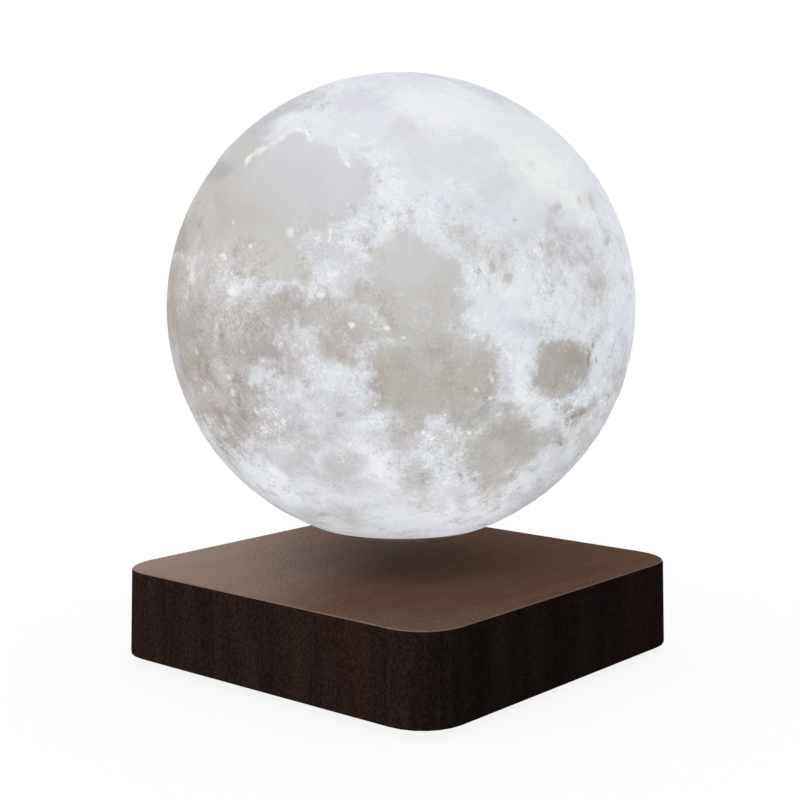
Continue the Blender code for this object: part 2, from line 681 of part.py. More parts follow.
def ground_level(place, seas, plain_pole):
    """Height of the skin at a place over the outer radius, with no crater there."""
    if place.angle(plain_pole) < math.radians(PLAIN_CAP_DEGREES):
        return 0.0
    depth = 0.0
    for centre, radius in seas:
        inward = 1 - place.angle(centre) / radius
        depth = max(depth, MARE_DEPTH * smooth_step(inward / (1 - MARE_SHORE)))
    return -HIGHLAND_DROP - depth


def all_craters(plain_pole):
    """The named craters, and others between them on the far side, none of them overlapping."""
    found = []

    def add(centre, degrees):
        radius = math.radians(degrees)
        if centre.angle(plain_pole) < math.radians(PLAIN_CAP_DEGREES) + CRATER_FOOT * radius:
            return
        if all(centre.angle(other) > CRATER_FOOT * (radius + size) for other, size in found):
            found.append((centre, radius))

    for _, latitude, longitude, degrees in CRATERS:
        add(direction(latitude, longitude), degrees)
    seas = [(direction(lat, lon), math.radians(size)) for _, lat, lon, size in MARIA]
    smallest, largest = FAR_CRATER_DEGREES
    for i, centre in enumerate(spiral_directions(FAR_CRATERS)):
        if all(centre.angle(sea) > size for sea, size in seas):
            share = (i * 5 % FAR_CRATER_SIZES) / (FAR_CRATER_SIZES - 1)
            add(centre, smallest + (largest - smallest) * share)
    return found


def crater_ring(centre, radius, count, turn):
    across = centre.orthogonal().normalized()
    along = centre.cross(across)
    for i in range(count):
        bearing = turn + math.tau * i / count
        sideways = across * math.cos(bearing) + along * math.sin(bearing)
        yield (centre * math.cos(radius) + sideways * math.sin(radius)).normalized()


def relief_mesh():
    """The globe's skin: points on a sphere, closer together round the craters, joined by their hull."""
    turn = Euler([math.radians(a) for a in GLOBE_TURN_DEGREES]).to_matrix()
    plain_pole = turn.transposed() @ Vector((0, 0, -1))
    seas = [(direction(lat, lon), math.radians(size)) for _, lat, lon, size in MARIA]
    craters = all_craters(plain_pole)
    spacing = math.sqrt(2 * math.tau / GRID_POINTS)
    places = []
    for place in spiral_directions(GRID_POINTS):
        if all(place.angle(c) > CRATER_FOOT * r + spacing / 2 for c, r in craters):
            places.append((place, ground_level(place, seas, plain_pole)))
    for centre, radius in craters:
        ground = ground_level(centre, seas, plain_pole)
        depth = min(CRATER_DEPTH_PER_RADIUS * radius * MOON_RADIUS, DEEPEST_CRATER)
        rise = min(RIM_PER_DEPTH * depth, HIGHEST_RIM)
        small = radius < math.radians(SMALL_CRATER_DEGREES)
        count = 8 if small else 12
        places.append((centre, ground - depth))
        if not small:
            for place in crater_ring(centre, CRATER_FLOOR * radius, 6, 0):
                places.append((place, ground - depth))
        for place in crater_ring(centre, radius, count, 0):
            places.append((place, ground + rise))
        for place in crater_ring(centre, CRATER_FOOT * radius, count, math.pi / count):
            places.append((place, ground_level(place, seas, plain_pole)))
    bm = bmesh.new()
    heights = bm.verts.layers.float.new("height")
    for place, height in places:
        bm.verts.new(place)[heights] = height
    bmesh.ops.convex_hull(bm, input=bm.verts)
    for vert in bm.verts:
        vert.co = turn @ (vert.co.normalized() * (MOON_RADIUS + vert[heights]))
    return mesh_from(bm, "moon_globe", 60.0)


def moon_globe():
    """The printed shell: relief outside, smooth inside, with a collar round the opening below."""
    centre = (0, 0, MOON_Z)
    globe = add_object("moon_globe", relief_mesh(), MOON_WHITE, centre)
    bm = bmesh.new()
    bmesh.ops.create_icosphere(bm, subdivisions=INNER_SPHERE_SUBDIVISIONS, radius=MOON_RADIUS - MOON_WALL)
    cut(globe, add_object("hollow_cut", mesh_from(bm, "hollow_cut"), location=centre))
    opening = CUP_RADIUS + SIDE_FIT
    collar_outer = opening + COLLAR_WALL
    mid_wall = MOON_RADIUS - MOON_WALL / 2
    collar_low = -math.sqrt(mid_wall**2 - collar_outer**2)
    collar = ring_profile(opening - COLLAR_WALL / 2, collar_outer, CUP_TOP - collar_low)
    cut(globe, turned("collar", collar, DISC_SIDES, ring=True, location=(0, 0, MOON_Z + collar_low)), "UNION")
    cut(globe, cylinder("opening_cut", opening, MOON_RADIUS + CUP_TOP + 2 * CUT_MARGIN, DISC_SIDES,
                        location=(0, 0, MOON_Z - MOON_RADIUS - CUT_MARGIN)))


def magnet_cup():
    """The plug of the globe: a well for the magnet, a groove for the coil and bosses for the board."""
    groove_outer = CUP_RADIUS - CUP_WALL
    tube_outer = WELL_RADIUS + WELL_WALL
    groove_level = GROOVE_FLOOR - math.sqrt(MOON_RADIUS**2 - groove_outer**2)
    profile = [
        (0, WELL_FLOOR_LEVEL),
        (WELL_RADIUS, WELL_FLOOR_LEVEL),
        (WELL_RADIUS, CUP_TOP),
        (tube_outer, CUP_TOP),
        (tube_outer, groove_level),
        (groove_outer, groove_level),
        (groove_outer, CUP_TOP),
        (CUP_RADIUS, CUP_TOP),
    ]
    for i in range(CUP_STEPS + 1):
        across = CUP_RADIUS + (CUP_FLAT_RADIUS - CUP_RADIUS) * i / CUP_STEPS
        profile.append((across, -math.sqrt(MOON_RADIUS**2 - across**2)))
    profile.append((0, profile[-1][1]))
    cup = turned("magnet_cup", profile, CUP_SIDES, material=CUP_WHITE, location=(0, 0, MOON_Z))
    for i, (x, y, _) in enumerate(around(BOARD_SCREW_COUNT, BOSS_CIRCLE, 90), 1):
        foot_level = groove_level - BOSS_ROOT
        cut(cup, cylinder(f"boss_{i}", BOSS_RADIUS, CUP_TOP - foot_level, SMALL_SIDES,
                          location=(x, y, MOON_Z + foot_level)), "UNION")
        depth = BOARD_SCREW_LENGTH + SEAT
        cut(cup, cylinder(f"boss_hole_{i}", BOARD_SCREW_SHANK_RADIUS + SIDE_FIT, depth + CUT_MARGIN,
                          PIN_SIDES, location=(x, y, MOON_Z + CUP_TOP - depth)))
    coil = ring_profile(GET_COIL_INNER, GET_COIL_OUTER, GET_COIL_HEIGHT)
    turned("receiver_coil", coil, CUP_SIDES, ring=True, material=COPPER,
           location=(0, 0, MOON_Z + groove_level + SEAT))


def float_magnet():
    profile = [
        (0, MAGNET_HEIGHT),
        (MAGNET_RADIUS - MAGNET_CHAMFER, MAGNET_HEIGHT),
        (MAGNET_RADIUS, MAGNET_HEIGHT - MAGNET_CHAMFER),
        (MAGNET_RADIUS, MAGNET_CHAMFER),
        (MAGNET_RADIUS - MAGNET_CHAMFER, 0),
        (0, 0),
    ]
    turned("float_magnet", profile, DISC_SIDES, material=NICKEL,
           location=(0, 0, MOON_Z + WELL_FLOOR_LEVEL + SEAT))


def light_board():
    """The round board on the cup, with its lights, coil rectifier and three screws."""
    level = MOON_Z + LIGHT_BOARD_LEVEL
    top = level + LIGHT_BOARD_THICKNESS
    board = cylinder("led_board", LIGHT_BOARD_RADIUS, LIGHT_BOARD_THICKNESS, DISC_SIDES,
                     material=CARRIER_WHITE, location=(0, 0, level))
    for i, (x, y, _) in enumerate(around(BOARD_SCREW_COUNT, BOSS_CIRCLE, 90), 1):
        cut(board, cylinder(
            f"board_hole_{i}", BOARD_SCREW_SHANK_RADIUS + SIDE_FIT,
            LIGHT_BOARD_THICKNESS + 2 * CUT_MARGIN, PIN_SIDES, location=(x, y, level - CUT_MARGIN),
        ))
        head_low = LIGHT_BOARD_THICKNESS + 2 * SEAT
        profile = [
            (0, head_low + BOARD_SCREW_HEAD_HEIGHT),
            (BOARD_SCREW_CROWN_RADIUS, head_low + BOARD_SCREW_HEAD_HEIGHT),
            (BOARD_SCREW_HEAD_RADIUS, head_low + BOARD_SCREW_HEAD_HEIGHT / 2),
            (BOARD_SCREW_HEAD_RADIUS, head_low),
            (BOARD_SCREW_SHANK_RADIUS, head_low),
            (BOARD_SCREW_SHANK_RADIUS, SEAT - BOARD_SCREW_LENGTH),
            (0, SEAT - BOARD_SCREW_LENGTH),
        ]
        turned(f"board_screw_{i}", profile, PIN_SIDES, material=ZINC_STEEL, location=(x, y, MOON_Z + CUP_TOP))
    for i, (x, y, bearing) in enumerate(around(LED_COUNT, LED_CIRCLE), 1):
        led = rounded_block(f"led_{i}", (LED_WIDTH, LED_WIDTH, LED_HEIGHT),
                            material=LED_YELLOW, location=(x, y, top + SEAT))
        led.rotation_euler.z = bearing
        cut(led, cylinder(f"led_window_{i}", LED_WINDOW_RADIUS, LED_WINDOW_DEPTH + CUT_MARGIN, SMALL_SIDES,
                          location=(x, y, top + SEAT + LED_HEIGHT - LED_WINDOW_DEPTH)))
    rounded_block("receiver_chip", GET_CHIP, material=CHIP_BLACK, location=(GET_CHIP_X, 0, top + SEAT))
    cylinder("receiver_capacitor", GET_CAPACITOR_RADIUS, GET_CAPACITOR_HEIGHT, COIL_SIDES,
             material=SLEEVE_BLUE, location=(GET_CAPACITOR_X, 0, top + SEAT))


def build():
    base_housing()
    bottom_cover()
    for i, (x, y) in enumerate(CORNERS, 1):
        cover_screw(i, x, y)
        foot(i, x, y)
    carrier_plate()
    ring_magnet()
    transmitter_coil()
    for i, (x, y, _) in enumerate(around(4, COIL_CIRCLE, 45), 1):
        bobbin_and_winding(i, x, y)
    sensor_board()
    main_board()
    touch_spring()
    power_socket()
    moon_globe()
    magnet_cup()
    float_magnet()
    light_board()


build()
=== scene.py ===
"""Looks of the levitating moon lamp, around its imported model."""

import json
import math

import bmesh
import bpy
import numpy as np
from mathutils import Matrix, Vector


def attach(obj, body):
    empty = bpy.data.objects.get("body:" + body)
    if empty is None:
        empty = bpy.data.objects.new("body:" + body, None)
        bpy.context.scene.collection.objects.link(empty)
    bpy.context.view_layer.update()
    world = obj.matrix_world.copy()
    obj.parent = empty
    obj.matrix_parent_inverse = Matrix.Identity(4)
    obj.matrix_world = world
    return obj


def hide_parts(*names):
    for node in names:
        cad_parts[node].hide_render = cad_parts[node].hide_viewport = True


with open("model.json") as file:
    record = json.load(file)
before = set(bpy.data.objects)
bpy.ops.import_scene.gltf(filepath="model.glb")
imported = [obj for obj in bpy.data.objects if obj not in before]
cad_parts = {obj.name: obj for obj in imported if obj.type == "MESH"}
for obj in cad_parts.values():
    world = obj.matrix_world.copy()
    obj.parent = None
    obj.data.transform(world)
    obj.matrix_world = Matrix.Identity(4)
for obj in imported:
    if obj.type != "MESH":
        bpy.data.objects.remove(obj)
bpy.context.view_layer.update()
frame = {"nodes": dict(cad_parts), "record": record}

MM = 0.001

# Sizes of the part, in metres, as its source has them
MOON_RADIUS = 0.075
MOON_WALL = 0.0018
MOON_CENTRE = Vector((0.0, 0.0, 0.1134))
OPENING_RADIUS = 0.0283
COLLAR_RADIUS = 0.0303
CUP_TOP = -0.0586

# The photograph's camera
IMAGE_WIDTH = 800
FOCAL_PIXELS = 1570.4
SENSOR_WIDTH = 36.0
CAMERA_AZIMUTH = math.radians(40.25)
CAMERA_PITCH = math.radians(6.657)
CAMERA_DISTANCE = 0.5102
CAMERA_CLIP = (0.01, 20.0)
TARGET_ACROSS = -0.0002
TARGET_HEIGHT = 0.083965


def add_object(name, data):
    """A new object in the scene."""
    thing = bpy.data.objects.new(name, data)
    bpy.context.scene.collection.objects.link(thing)
    return thing


def camera_axes():
    """The camera's right, up and backward directions."""
    a, e = CAMERA_AZIMUTH, CAMERA_PITCH
    back = Vector((math.sin(a) * math.cos(e), -math.cos(a) * math.cos(e), math.sin(e)))
    right = Vector((math.cos(a), math.sin(a), 0.0))
    return right, back.cross(right), back


def camera_place():
    right, _, back = camera_axes()
    return right * TARGET_ACROSS + Vector((0.0, 0.0, TARGET_HEIGHT)) + back * CAMERA_DISTANCE


def make_camera():
    data = bpy.data.cameras.new("camera")
    data.sensor_width = SENSOR_WIDTH
    data.lens = FOCAL_PIXELS * SENSOR_WIDTH / IMAGE_WIDTH
    data.clip_start, data.clip_end = CAMERA_CLIP
    camera = add_object("camera", data)
    camera.matrix_world = Matrix.Translation(camera_place()) @ Matrix(camera_axes()).transposed().to_4x4()
    bpy.context.scene.camera = camera


# Material nodes

SIDE_ROUGHNESS = 0.66
TOP_ROUGHNESS = 0.45
WALNUT_SPECULAR = 0.001


def linear(level):
    """A colour of 0 to 255 levels as Blender's linear values."""
    c = np.asarray(level, float) / 255.0
    return np.where(c <= 0.04045, c / 12.92, ((c + 0.055) / 1.055) ** 2.4)


def rgba(level):
    return (*linear(level).tolist(), 1.0)


def darker(level, share):
    return tuple(share * c for c in level)


class Finish:
    """A material with a Principled shader, and short calls that add nodes to it."""

    def __init__(self, name, roughness=0.5, metallic=0.0):
        self.material = bpy.data.materials.new(name)
        self.material.use_nodes = True
        self.tree = self.material.node_tree
        self.shader = self.tree.nodes["Principled BSDF"]
        self.feed(self.shader, {"Roughness": roughness, "Metallic": metallic})
        self.place = self.add("TexCoord").outputs["Object"]

    def add(self, kind, **settings):
        node = self.tree.nodes.new("ShaderNode" + kind)
        for name, value in settings.items():
            setattr(node, name, value)
        return node

    def link(self, value, socket):
        """Gives an input another node's output or a constant. A colour of three numbers is in levels."""
        if isinstance(value, bpy.types.NodeSocket):
            self.tree.links.new(value, socket)
        elif socket.type == "RGBA" and len(value) == 3:
            socket.default_value = rgba(value)
        else:
            socket.default_value = value

    def feed(self, node, values):
        """Links a node's inputs, by name or number, and returns the node."""
        for key, value in values.items():
            self.link(value, node.inputs[key])
        return node

    def scaled(self, *scale):
        """The place on the object, stretched along each axis."""
        return self.feed(self.add("Mapping"), {"Vector": self.place, "Scale": scale}).outputs["Vector"]

    def split(self, vector):
        """A vector's X, Y and Z."""
        return self.feed(self.add("SeparateXYZ"), {0: vector}).outputs

    def noise(self, scale, detail=3.0, roughness=0.5, vector=None, distortion=0.0, output="Fac"):
        return self.feed(self.add("TexNoise"), {
            "Vector": vector or self.place, "Scale": scale, "Detail": detail, "Roughness": roughness,
            "Distortion": distortion,
        }).outputs[output]

    def cells(self, scale, vector=None, feature="F1"):
        """Cells round scattered points: the distance from the point, and a colour for each cell."""
        node = self.add("TexVoronoi", feature=feature)
        return self.feed(node, {"Vector": vector or self.place, "Scale": scale}).outputs

    def ramp(self, value, low, high, to_low=0.0, to_high=1.0, kind="SMOOTHSTEP"):
        return self.feed(self.add("MapRange", interpolation_type=kind), {
            "Value": value, "From Min": low, "From Max": high, "To Min": to_low, "To Max": to_high,
        }).outputs["Result"]

    def math(self, operation, *values):
        return self.feed(self.add("Math", operation=operation), dict(enumerate(values))).outputs[0]

    def times(self, a, b):
        return self.math("MULTIPLY", a, b)

    def plus(self, a, b):
        return self.math("ADD", a, b)

    def total(self, *pairs):
        """The sum of values, each with its weight."""
        first, *others = [self.times(value, weight) for value, weight in pairs]
        for other in others:
            first = self.plus(first, other)
        return first

    def mix(self, share, a, b, blend="MIX"):
        node = self.add("Mix", data_type="RGBA", blend_type=blend)
        return self.feed(node, {"Factor": share, "A": a, "B": b}).outputs["Result"]

    def bump(self, height, distance, strength):
        node = self.feed(self.add("Bump"), {"Height": height, "Distance": distance, "Strength": strength})
        self.feed(self.shader, {"Normal": node.outputs["Normal"]})


def walnut(name):
    """Dark stained walnut: fine upright fibres on the sides, and a smoother satin top painted lighter than
    the sides, a painted sheen.
    """
    f = Finish(name)
    fibre = f.noise(4300, 3, 0.7, f.scaled(1, 1, 0.34), 0.7)
    streaks = f.noise(420, 4, 0.6, f.scaled(1, 1, 0.06), 1)
    bands = f.noise(75, 3, 0.5, f.scaled(1, 1, 0.10))
    patches = f.noise(34, 2, 0.5, f.scaled(1, 1, 0.22))
    pores = f.cells(1500, f.scaled(1, 1, 0.70), "SMOOTH_F1")["Distance"]
    dark = f.mix(f.ramp(bands, 0.35, 0.65), (19, 14, 13), (30, 22, 19))
    # Patterns, each over the last: where it starts and is whole, how much it covers, and its colour
    for pattern, low, high, share, level in (
        (streaks, 0.46, 0.70, 0.70, (32, 26, 24)),
        (fibre, 0.40, 0.70, 0.42, (37, 30, 29)),
        (patches, 0.52, 0.68, 0.60, (36, 21, 16)),
        (pores, 0.20, 0.60, 0.50, (6, 3, 2)),
    ):
        dark = f.mix(f.ramp(pattern, low, high, 0, share), dark, level)
    grain = f.noise(140, 4, 0.55, f.scaled(1, 0.08, 1))
    leather = f.cells(900, None, "SMOOTH_F1")["Distance"]
    # The top is painted lighter than the sides: a painted sheen, for light glancing off it
    top = f.mix(f.ramp(grain, 0.35, 0.68), (92, 68, 54), (98, 74, 60))
    top = f.mix(f.ramp(leather, 0.25, 0.65, 0, 0.30), top, (60, 43, 33))
    # The front corner is creased, and painted greyer with light lines along its creases: a painted glancing
    # sheen
    place = f.split(f.place)
    creased_sheen_corner = f.ramp(f.math("SUBTRACT", place["X"], place["Y"]), 0.080, 0.112)
    creases = f.noise(190, 4, 0.65, None, 1.6)
    crease_highlights = f.ramp(f.math("ABSOLUTE", f.math("SUBTRACT", creases, 0.5)), 0, 0.035, 0.32, 0)
    top = f.mix(f.times(creased_sheen_corner, 0.6), top, (94, 78, 71))
    top = f.mix(f.times(creased_sheen_corner, crease_highlights), top, (132, 114, 105))
    # The rounded edge between the sides and the top is painted lighter: a painted highlight where it catches
    # light
    tilt = f.split(f.add("NewGeometry").outputs["Normal"])["Z"]
    upward = f.ramp(tilt, 0.82, 0.97)
    painted_edge_highlight = f.times(f.ramp(tilt, 0.45, 0.75), f.ramp(tilt, 0.90, 0.99, 1, 0))
    rough = f.total((fibre, 0.7), (pores, -0.7))
    smooth_top = f.total((leather, -0.8), (f.times(creases, 9), creased_sheen_corner))
    height = f.plus(f.times(rough, f.ramp(upward, 0, 1, 1, 0)), f.times(smooth_top, upward))
    f.bump(height, 0.00014, 0.6)
    f.feed(f.shader, {
        "Base Color": f.mix(f.times(painted_edge_highlight, 0.6), f.mix(upward, dark, top), (128, 108, 98)),
        "Roughness": f.ramp(upward, 0, 1, SIDE_ROUGHNESS, TOP_ROUGHNESS),
        "Specular IOR Level": WALNUT_SPECULAR,
    })
    return f.material


def moulded(name, level, roughness, grain=1400):
    """Moulded plastic or rubber with a fine even texture."""
    f = Finish(name)
    texture = f.noise(grain, 2, 0.6)
    f.feed(f.shader, {
        "Base Color": f.mix(f.ramp(f.noise(60, 2), 0.3, 0.7), darker(level, 0.82), level),
        "Roughness": f.ramp(texture, 0.3, 0.7, roughness - 0.06, roughness + 0.06),
    })
    f.bump(texture, 0.00005, 0.4)
    return f.material


def metal(name, level, roughness, stretch=(1, 1, 0.1), grain=500):
    """Plated or turned metal with faint tool marks along one way."""
    f = Finish(name, metallic=1)
    marks = f.noise(grain, 3, 0.6, f.scaled(*stretch))
    f.feed(f.shader, {
        "Base Color": f.mix(f.ramp(marks, 0.3, 0.7), darker(level, 0.86), level),
        "Roughness": f.ramp(marks, 0.3, 0.7, max(roughness - 0.08, 0.05), roughness + 0.1),
    })
    f.bump(marks, 0.00002, 0.3)
    return f.material


def speckled(name, roughness, noise, low, high, depth, strength):
    """One noise that mixes two colours and roughens the surface."""
    f = Finish(name, roughness)
    speck = f.noise(*noise)
    f.feed(f.shader, {"Base Color": f.mix(f.ramp(speck, 0.3, 0.7), low, high)})
    f.bump(speck, depth, strength)
    return f.material


def copper_winding(name):
    """Turns of enamelled wire, stacked up the coil."""
    f = Finish(name, 0.28, 1)
    wave = f.add("TexWave", bands_direction="Z")
    turns = f.feed(wave, {"Vector": f.place, "Scale": 450}).outputs["Fac"]
    # Each turn is painted lighter on its crest and darker towards the next turn: painted highlight and
    # painted shade
    f.feed(f.shader, {"Base Color": f.mix(turns, (118, 58, 30), (214, 122, 72))})
    f.bump(turns, 0.0002, 0.8)
    return f.material


def circuit_board(name, mask, line):
    """Solder mask over copper lines, with a fine glass weave under it."""
    f = Finish(name, 0.38)
    bricks = f.add("TexBrick", offset=0.5, squash=1)
    lanes = f.feed(bricks, {"Vector": f.place, "Scale": 260, "Mortar Size": 0.03}).outputs["Fac"]
    shade = f.mix(f.ramp(f.cells(900)["Distance"], 0.2, 0.8, 0, 0.4), mask, darker(mask, 0.8))
    f.feed(f.shader, {"Base Color": f.mix(f.times(lanes, 0.6), shade, line)})
    f.bump(lanes, 0.00003, 0.5)
    return f.material


# Name of the material slot, the function that makes its finish, and what that function is given
FINISHES = {name: make(name, *values) for name, make, *values in (
    ("walnut", walnut),
    ("cover_black", moulded, (42, 42, 43), 0.62, 900),
    ("foot_rubber", moulded, (50, 50, 50), 0.85, 1800),
    ("zinc_steel", metal, (190, 192, 196), 0.3),
    ("ferrite", speckled, 0.6, (1800, 3, 0.7), (62, 62, 66), (84, 84, 88), 0.00006, 0.5),
    ("carrier_white", moulded, (218, 216, 210), 0.5),
    ("bobbin_black", moulded, (50, 50, 52), 0.5),
    ("copper", copper_winding),
    ("iron", metal, (158, 156, 152), 0.42, (0.2, 0.2, 1)),
    ("board_green", circuit_board, (38, 110, 70), (70, 150, 96)),
    ("board_white", circuit_board, (232, 232, 228), (206, 206, 200)),
    ("chip_black", moulded, (34, 34, 35), 0.45, 2400),
    ("sleeve_blue", moulded, (48, 62, 112), 0.3, 500),
    ("socket_black", moulded, (38, 38, 38), 0.34, 1200),
    ("nickel", metal, (214, 212, 206), 0.16, (1, 0.1, 1), 300),
    ("cup_white", moulded, (224, 224, 222), 0.6, 1600),
    ("led_yellow", speckled, 0.3, (2500, 2), (236, 214, 120), (246, 232, 170), 0.00002, 0.3),
)}


def dress_nodes():
    """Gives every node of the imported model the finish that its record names."""
    for part in frame["record"]["subparts"]:
        finish = FINISHES.get(part["material_slot"])
        if finish:
            mesh = frame["nodes"][part["node"]].data
            mesh.materials.clear()
            mesh.materials.append(finish)


# The moon's map, as seen from the front. Places are in percent of the disc's radius, x to the right
# and y up, from its middle. Leans are in degrees.

# Tones of the map, in 0 to 255 levels
LAND = (224, 227, 233)
SOUTH = (222, 225, 231)
PALE = (236, 238, 241)
GLOW = (243, 244, 246)
RIME = (226, 231, 236)
MINT = (224, 229, 230)
LILAC = (212, 212, 220)
PLUM = (192, 192, 198)
GREY = (205, 205, 208)
CLAY = (197, 194, 191)
OLIVE = (200, 199, 194)
MOSS = (183, 180, 172)
TAN = (187, 182, 176)
BARK = (174, 167, 161)
DUN = (164, 155, 148)
BRICK = (172, 158, 154)
CREAM = (241, 243, 240)
ICE = (240, 244, 251)
SOOT = (148, 139, 132)
ROSE = (196, 191, 192)
RUST = (186, 175, 171)
SLATE = (174, 169, 163)

# Seas: softness of the shore, raggedness, strength and outline, as x and y by turns
SEAS = {
    "imbrium": (1.8, 0.9, 1, (
        -67, 61, -64, 63, -60, 65.5, -56, 68.5, -53, 70, -50, 73.5, -47, 75, -44, 75, -41, 73.5, -39, 71,
        -33, 70.5, -29, 69.5, -26.5, 68, -24, 62.5, -21, 61, -21, 66, -18, 65.5, -14.5, 63.5, -11.5, 60,
        -11.5, 57, -13, 54, -13, 50, -13, 46, -16, 43, -21, 41, -24, 37, -28, 35.5, -35, 33.5, -41, 31.5,
        -43, 28, -41, 22, -38.5, 18, -39, 13.5, -43, 10.5, -46, 11.5, -50, 10.5, -54, 12, -60, 12, -66, 14,
        -70, 12, -76, 20, -84, 22, -96, 22, -112, 23, -118, 30, -108, 37, -115, 46, -104, 55, -96, 62,
        -85, 66, -75, 64, -70, 62)),
    "limb_sea": (4.2, 1.9, 0.95, (
        -112, 25, -96, 24, -81, 26, -79, 12, -76, 4, -73, 4, -68, 4, -62, 8, -56, 11.5, -51, 11, -46, 9,
        -42, 7.5, -37, 5, -33, 4, -28, 3.5, -20, 5, -17, 12, -15, 8, -12, 3, -13, -2, -14, -5, -13, -8,
        -17, -12, -20, -15, -22, -18, -20, -23, -27, -22.5, -32, -19, -35, -16, -36, -11, -37, -7, -42, -6,
        -47, -7, -50, -9, -48, -14, -43, -19, -40, -25, -42, -31, -47, -36, -51, -34, -54, -27, -57, -25,
        -60, -29, -61, -34, -60, -42, -59, -46, -63, -52, -66, -58, -68, -61, -71, -59, -76, -53, -82, -48,
        -98, -46, -104, -37, -114, -31, -105, -22, -110, -12, -119, -6, -108, 2, -113, 11, -105, 18)),
    "serenitatis": (2.3, 1.2, 0.95, (
        -12, 25, -8, 27, -5, 29, -3, 31.5, 0, 33, 3, 35, 6, 34, 8.5, 32, 10, 30, 13, 28, 14.2, 25.5,
        16, 23.5, 20, 22.5, 24, 21.5, 25.3, 18, 24.8, 13, 26.5, 10, 27.5, 6, 29, 2, 27, 0, 25, -2, 24, -6,
        23, -10, 20, -13, 14, -15.5, 9, -15.5, 4, -15.5, -1, -15.5, -5, -14, -8, -11, -9, -5, -11, -2,
        -13.5, 2, -15.5, 5, -15.5, 9, -14.5, 13, -13, 17, -12, 21)),
    "tranquillitatis": (2.2, 1.5, 1, (
        -11, -16, -7, -15, -1, -14.5, 4, -14, 9, -13, 14, -11, 19.5, -9, 22, -11, 26, -12, 29, -13.5,
        33, -13, 36, -15, 39, -17, 42, -19, 40, -21, 39.5, -26, 40, -29, 42, -32, 45, -34, 46.5, -36,
        43, -37.5, 41, -39, 43, -41, 48, -41.5, 51, -43.5, 48, -47, 41, -46.5, 37, -49, 33, -51.5, 28.5, -53,
        24.5, -51, 21, -48.5, 18, -45.5, 15, -46.5, 12, -49.5, 9, -52.5, 5, -54, 0, -54, -1, -50,
        -1.5, -46.5, -6, -46, -8, -43, -10, -40, -13.5, -35, -12, -28, -12, -21)),
    "asperitatis": (2.6, 1.6, 0.75, (
        -5, -52, -1, -49, 4, -54, 4, -60, 1, -65, -2, -62, -6, -58)),
    "nectaris": (2.6, 1.7, 0.8, (
        1, -69, 7, -66, 12, -68.5, 14, -72.5, 13, -78, 10, -83, 6, -81, 2, -79, 0.5, -74)),
    "fecunditatis": (2.6, 2, 0.98, (
        31, -53.5, 36, -50.5, 41, -47, 47, -44, 50.5, -45, 54, -46.5, 56, -50, 58, -53, 60, -54.3, 58, -58,
        58, -62.5, 56, -65.5, 51.5, -66.8, 48, -69, 47, -73, 43.5, -76.5, 40.5, -80, 37.5, -82.5, 34, -80.5,
        33, -76, 31.5, -74, 31, -70, 29.5, -65.5, 28.2, -62, 29.5, -58.5, 28, -56)),
    "crisium": (1.5, 0.9, 1, (
        57.8, -21, 59.5, -17, 63, -14.2, 68, -12.6, 73, -12, 77.5, -13, 80.6, -16, 82, -21, 81.8, -26,
        80, -30, 77, -33, 73.5, -36, 70, -38, 66.5, -38.8, 62.5, -38, 59.5, -35, 57.4, -31, 57, -26)),
    "frigoris": (5, 1.6, 0.32, (
        -30, 79, -22, 78, -12, 75, -4, 71, 0, 66, 3, 60, 8, 56, 14, 57.5, 20, 55, 26, 55, 30, 51, 36, 47,
        44, 48, 50, 53, 48, 60, 40, 64, 32, 70, 25, 76, 12, 79, 2, 82, -5, 88, -14, 92, -24, 90)),
    "east_stains": (3.6, 2.2, 0.64, (
        62, 42, 66, 42, 69, 37, 74, 33, 78, 29, 83, 26, 81, 20, 77, 18, 74, 16, 70, 20, 66, 16, 61, 17,
        62, 24, 61, 31, 60, 36)),
    "somniorum": (2.4, 2.2, 0.6, (
        22, 36, 26, 36, 28, 36, 30, 32, 34, 31, 37, 28, 42, 27, 47, 26, 47, 21, 47, 16, 48, 12.5, 43, 13,
        38, 12, 36, 16, 35, 20, 31, 19, 28, 21, 25, 25, 22, 26, 20, 29, 20, 33)),
}

